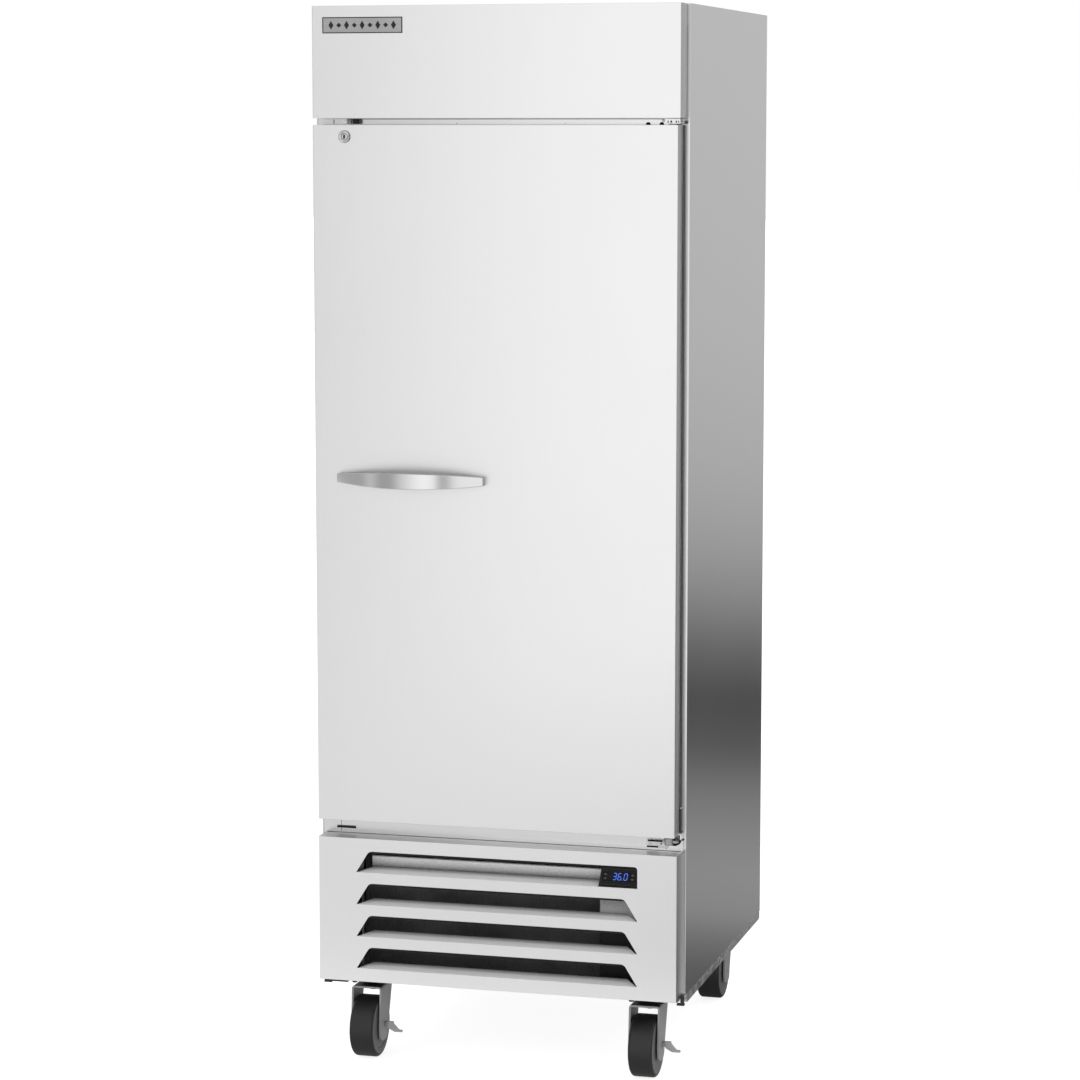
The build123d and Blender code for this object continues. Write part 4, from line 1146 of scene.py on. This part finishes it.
def machine_parts():
    """Condenser with close fins, compressor and the parts round them."""
    lo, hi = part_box("condenser_coil")
    coil = Shape("coil", "plated")
    fins = 150
    for step in range(fins):
        x = lo.x + 0.006 + step * (hi.x - lo.x - 0.012) / (fins - 1)
        coil.block((x - 0.00025, lo.y + 0.001, 0.190), (x + 0.00025, hi.y - 0.001, 0.432))
    for y in (-0.292, -0.270):
        for step in range(8):
            z = 0.206 + step * 0.030
            coil.tube([(lo.x + 0.001, y, z), (hi.x - 0.001, y, z)], 0.0045)
    for x in (lo.x, hi.x - 0.002):
        coil.block((x, lo.y, lo.z), (x + 0.002, hi.y, hi.z), 1)
    coil.piece("finned_condenser", "cabinet", ["condenser_coil"], edge=0.0)
    finish_node("condenser_shroud", "sheet", 0.0004)
    finish_node("refrigerant_lines", "copper")
    finish_node("drain_pan", "drain", 0.001)
    finish_node("fan_motors", "plated", 0.0008)
    finish_node("compressor", "enamel", 0.0010)
    finish_node("rear_guard", "sheet", 0.0003)
    finish_node("cord_gland", "black", 0.0006)
    finish_node("base_frame", "spangle", 0.0006)


def interior():
    """Liner, foam, shelves, lamp and evaporator parts, the fan's wire guard and both rotors."""
    finish_node("inner_liner", "inner", 0.0015)
    finish_node("cabinet_foam", "foam")
    for name in ("lower_shelf", "middle_shelf", "upper_shelf"):
        finish_node(name, "wire")
        finish_edges(nodes[name], 0.0)
    finish_node("evaporator_cover", "inner", 0.0008)
    finish_node("evaporator_coil", "aluminium")
    finish_node("interior_lamp", "lamp", 0.0020)
    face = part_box("evaporator_cover")[0].y
    guard = Shape("wire")
    z = 1.9885
    turns = [math.tau * step / 48 for step in range(49)]
    for radius in (0.018, 0.034, 0.050, 0.066, 0.080):
        ring = [(radius * math.cos(turn), face - 0.0040, z + radius * math.sin(turn)) for turn in turns]
        guard.tube(ring, 0.0012, 0, 8)
    for step in range(4):
        turn = math.pi * step / 4 + math.pi / 8
        c, s = math.cos(turn) * 0.083, math.sin(turn) * 0.083
        guard.tube([(-c, face - 0.0022, z - s), (c, face - 0.0022, z + s)], 0.0012, 0, 8)
    guard.piece("fan_guard", "cabinet", edge=0.0)
    fan_rotor("condenser_fan", "condenser_fan", 0.026, 0.112, 5, (-0.045, -0.224, 0.318), 0.027)
    fan_rotor("evaporator_fan", "evaporator_fan", 0.020, 0.074, 5, (0.0, -0.138, z), 0.026)


# ---------------------------------------------------------------- studio
def glow_ramp(name, axis, stops):
    """Card that glows with a brightness given at places along one axis."""
    mat = Nodes(name)
    coords = mat.add("TexCoord").outputs["Object"]
    along = mat.add("SeparateXYZ", Vector=coords).outputs[axis.upper()]
    low, high = stops[0][0], stops[-1][0]
    ramp = mat.add("ValToRGB", Fac=mat.spread(along, 0.0, 1.0, low, high))
    brightest = max(level for _, level in stops)
    elements = ramp.color_ramp.elements
    while len(elements) < len(stops):
        elements.new(0.5)
    for element, (spot, level) in zip(elements, stops):
        element.position = (spot - low) / (high - low)
        element.color = (level / brightest, level / brightest, level / brightest, 1.0)
    mat.set(Base_Color=(0.0, 0.0, 0.0, 1.0), Emission_Color=ramp.outputs["Color"])
    mat.shader.inputs["Specular IOR Level"].default_value = 0.0
    mat.shader.inputs["Emission Strength"].default_value = brightest
    return mat.material


def card(name, corners, axis, stops):
    """Flat card that only glossy surfaces see."""
    MATS[name] = glow_ramp(name, axis, stops)
    shape = Shape(name)
    shape.bm.faces.new([shape.bm.verts.new(spot) for spot in corners])
    made = shape.to_object(name)
    for kind in ("camera", "diffuse", "shadow", "transmission", "volume_scatter"):
        setattr(made, "visible_" + kind, False)


def studio():
    """Pale floor, soft light and the reflection cards that shape the steel's tones."""
    scene = bpy.context.scene
    scene.view_settings.view_transform = "Standard"
    world = bpy.data.worlds.new("studio")
    world.use_nodes = True
    world.node_tree.nodes["Background"].inputs["Color"].default_value = (1.0, 1.0, 1.0, 1.0)
    world.node_tree.nodes["Background"].inputs["Strength"].default_value = 1.0
    scene.world = world

    size = 60.0
    floor = Shape("floor")
    floor.block((-size, -size, -0.05), (size, size, 0.0))
    floor.to_object("studio_floor")

    card("card_front", [(-12.0, -3.4, 0.0), (3.0, -3.4, 0.0), (3.0, -3.4, 5.0), (-12.0, -3.4, 5.0)], "x",
         [(-12.0, 0.66), (-3.9, 0.62), (-3.3, 0.98), (-2.9, 0.86), (-2.4, 0.56), (-1.74, 0.60), (-1.32, 1.01),
          (-0.3, 1.68), (0.18, 1.58), (0.40, 0.62), (0.65, 0.62), (0.92, 1.30), (1.2, 1.45), (3.0, 1.50)])
    card("card_front_floor", [(-5.0, -3.4, 0.004), (3.0, -3.4, 0.004), (3.0, -0.9, 0.004), (-5.0, -0.9, 0.004)],
         "x", [(-4.0, 1.42), (3.0, 0.36)])
    card("card_side_floor",
         [(-1.2, -0.5, 0.006), (14.0, -0.5, 0.006), (14.0, 12.0, 0.006), (-1.2, 12.0, 0.006)],
         "y", [(-0.5, 0.45), (-0.1, 0.42), (0.15, 0.28), (0.35, 0.11), (0.57, 0.14), (0.85, 0.22), (1.1, 0.32),
               (1.5, 0.35), (1.85, 0.32), (2.47, 0.25), (3.2, 0.12), (4.1, 0.08), (5.15, 0.17), (6.4, 0.32),
               (8.0, 0.44), (10.0, 0.51), (12.0, 0.55)])
    card("card_side_wall", [(-6.0, 12.0, 0.0), (14.0, 12.0, 0.0), (14.0, 12.0, 8.0), (-6.0, 12.0, 8.0)], "z",
         [(0.0, 0.55), (0.7, 0.61), (1.5, 0.64), (2.3, 0.66), (8.0, 0.80)])

    lamp("key", (-3.4, -4.6, 4.6), (0.0, 0.0, 1.1), (3.4, 3.4), 60.0)

    camera = bpy.data.cameras.new("camera")
    camera.sensor_width = 36.0
    camera.lens = 111.08
    camera.clip_end = 200.0
    made = bpy.data.objects.new("camera", camera)
    made.location = (1.7922, -6.6794, 1.9076)
    made.rotation_euler = (math.radians(90 - 7.088), 0.0, math.radians(15.082))
    scene.collection.objects.link(made)
    scene.camera = made


def lamp(name, spot, aim, size, power):
    """Soft rectangular lamp that glossy surfaces do not see."""
    light = bpy.data.lights.new(name, "AREA")
    light.shape = "RECTANGLE"
    light.size, light.size_y = size
    light.energy = power
    made = bpy.data.objects.new(name, light)
    made.location = spot
    made.rotation_euler = (Vector(aim) - Vector(spot)).to_track_quat("-Z", "Y").to_euler()
    made.visible_glossy = False
    bpy.context.scene.collection.objects.link(made)


header()
side_panels()
back_and_top()
face_frame()
front_grille()
controller()
door()
handle()
lock()
gap_hardware()
casters()
uprights()
machine_parts()
interior()
studio()
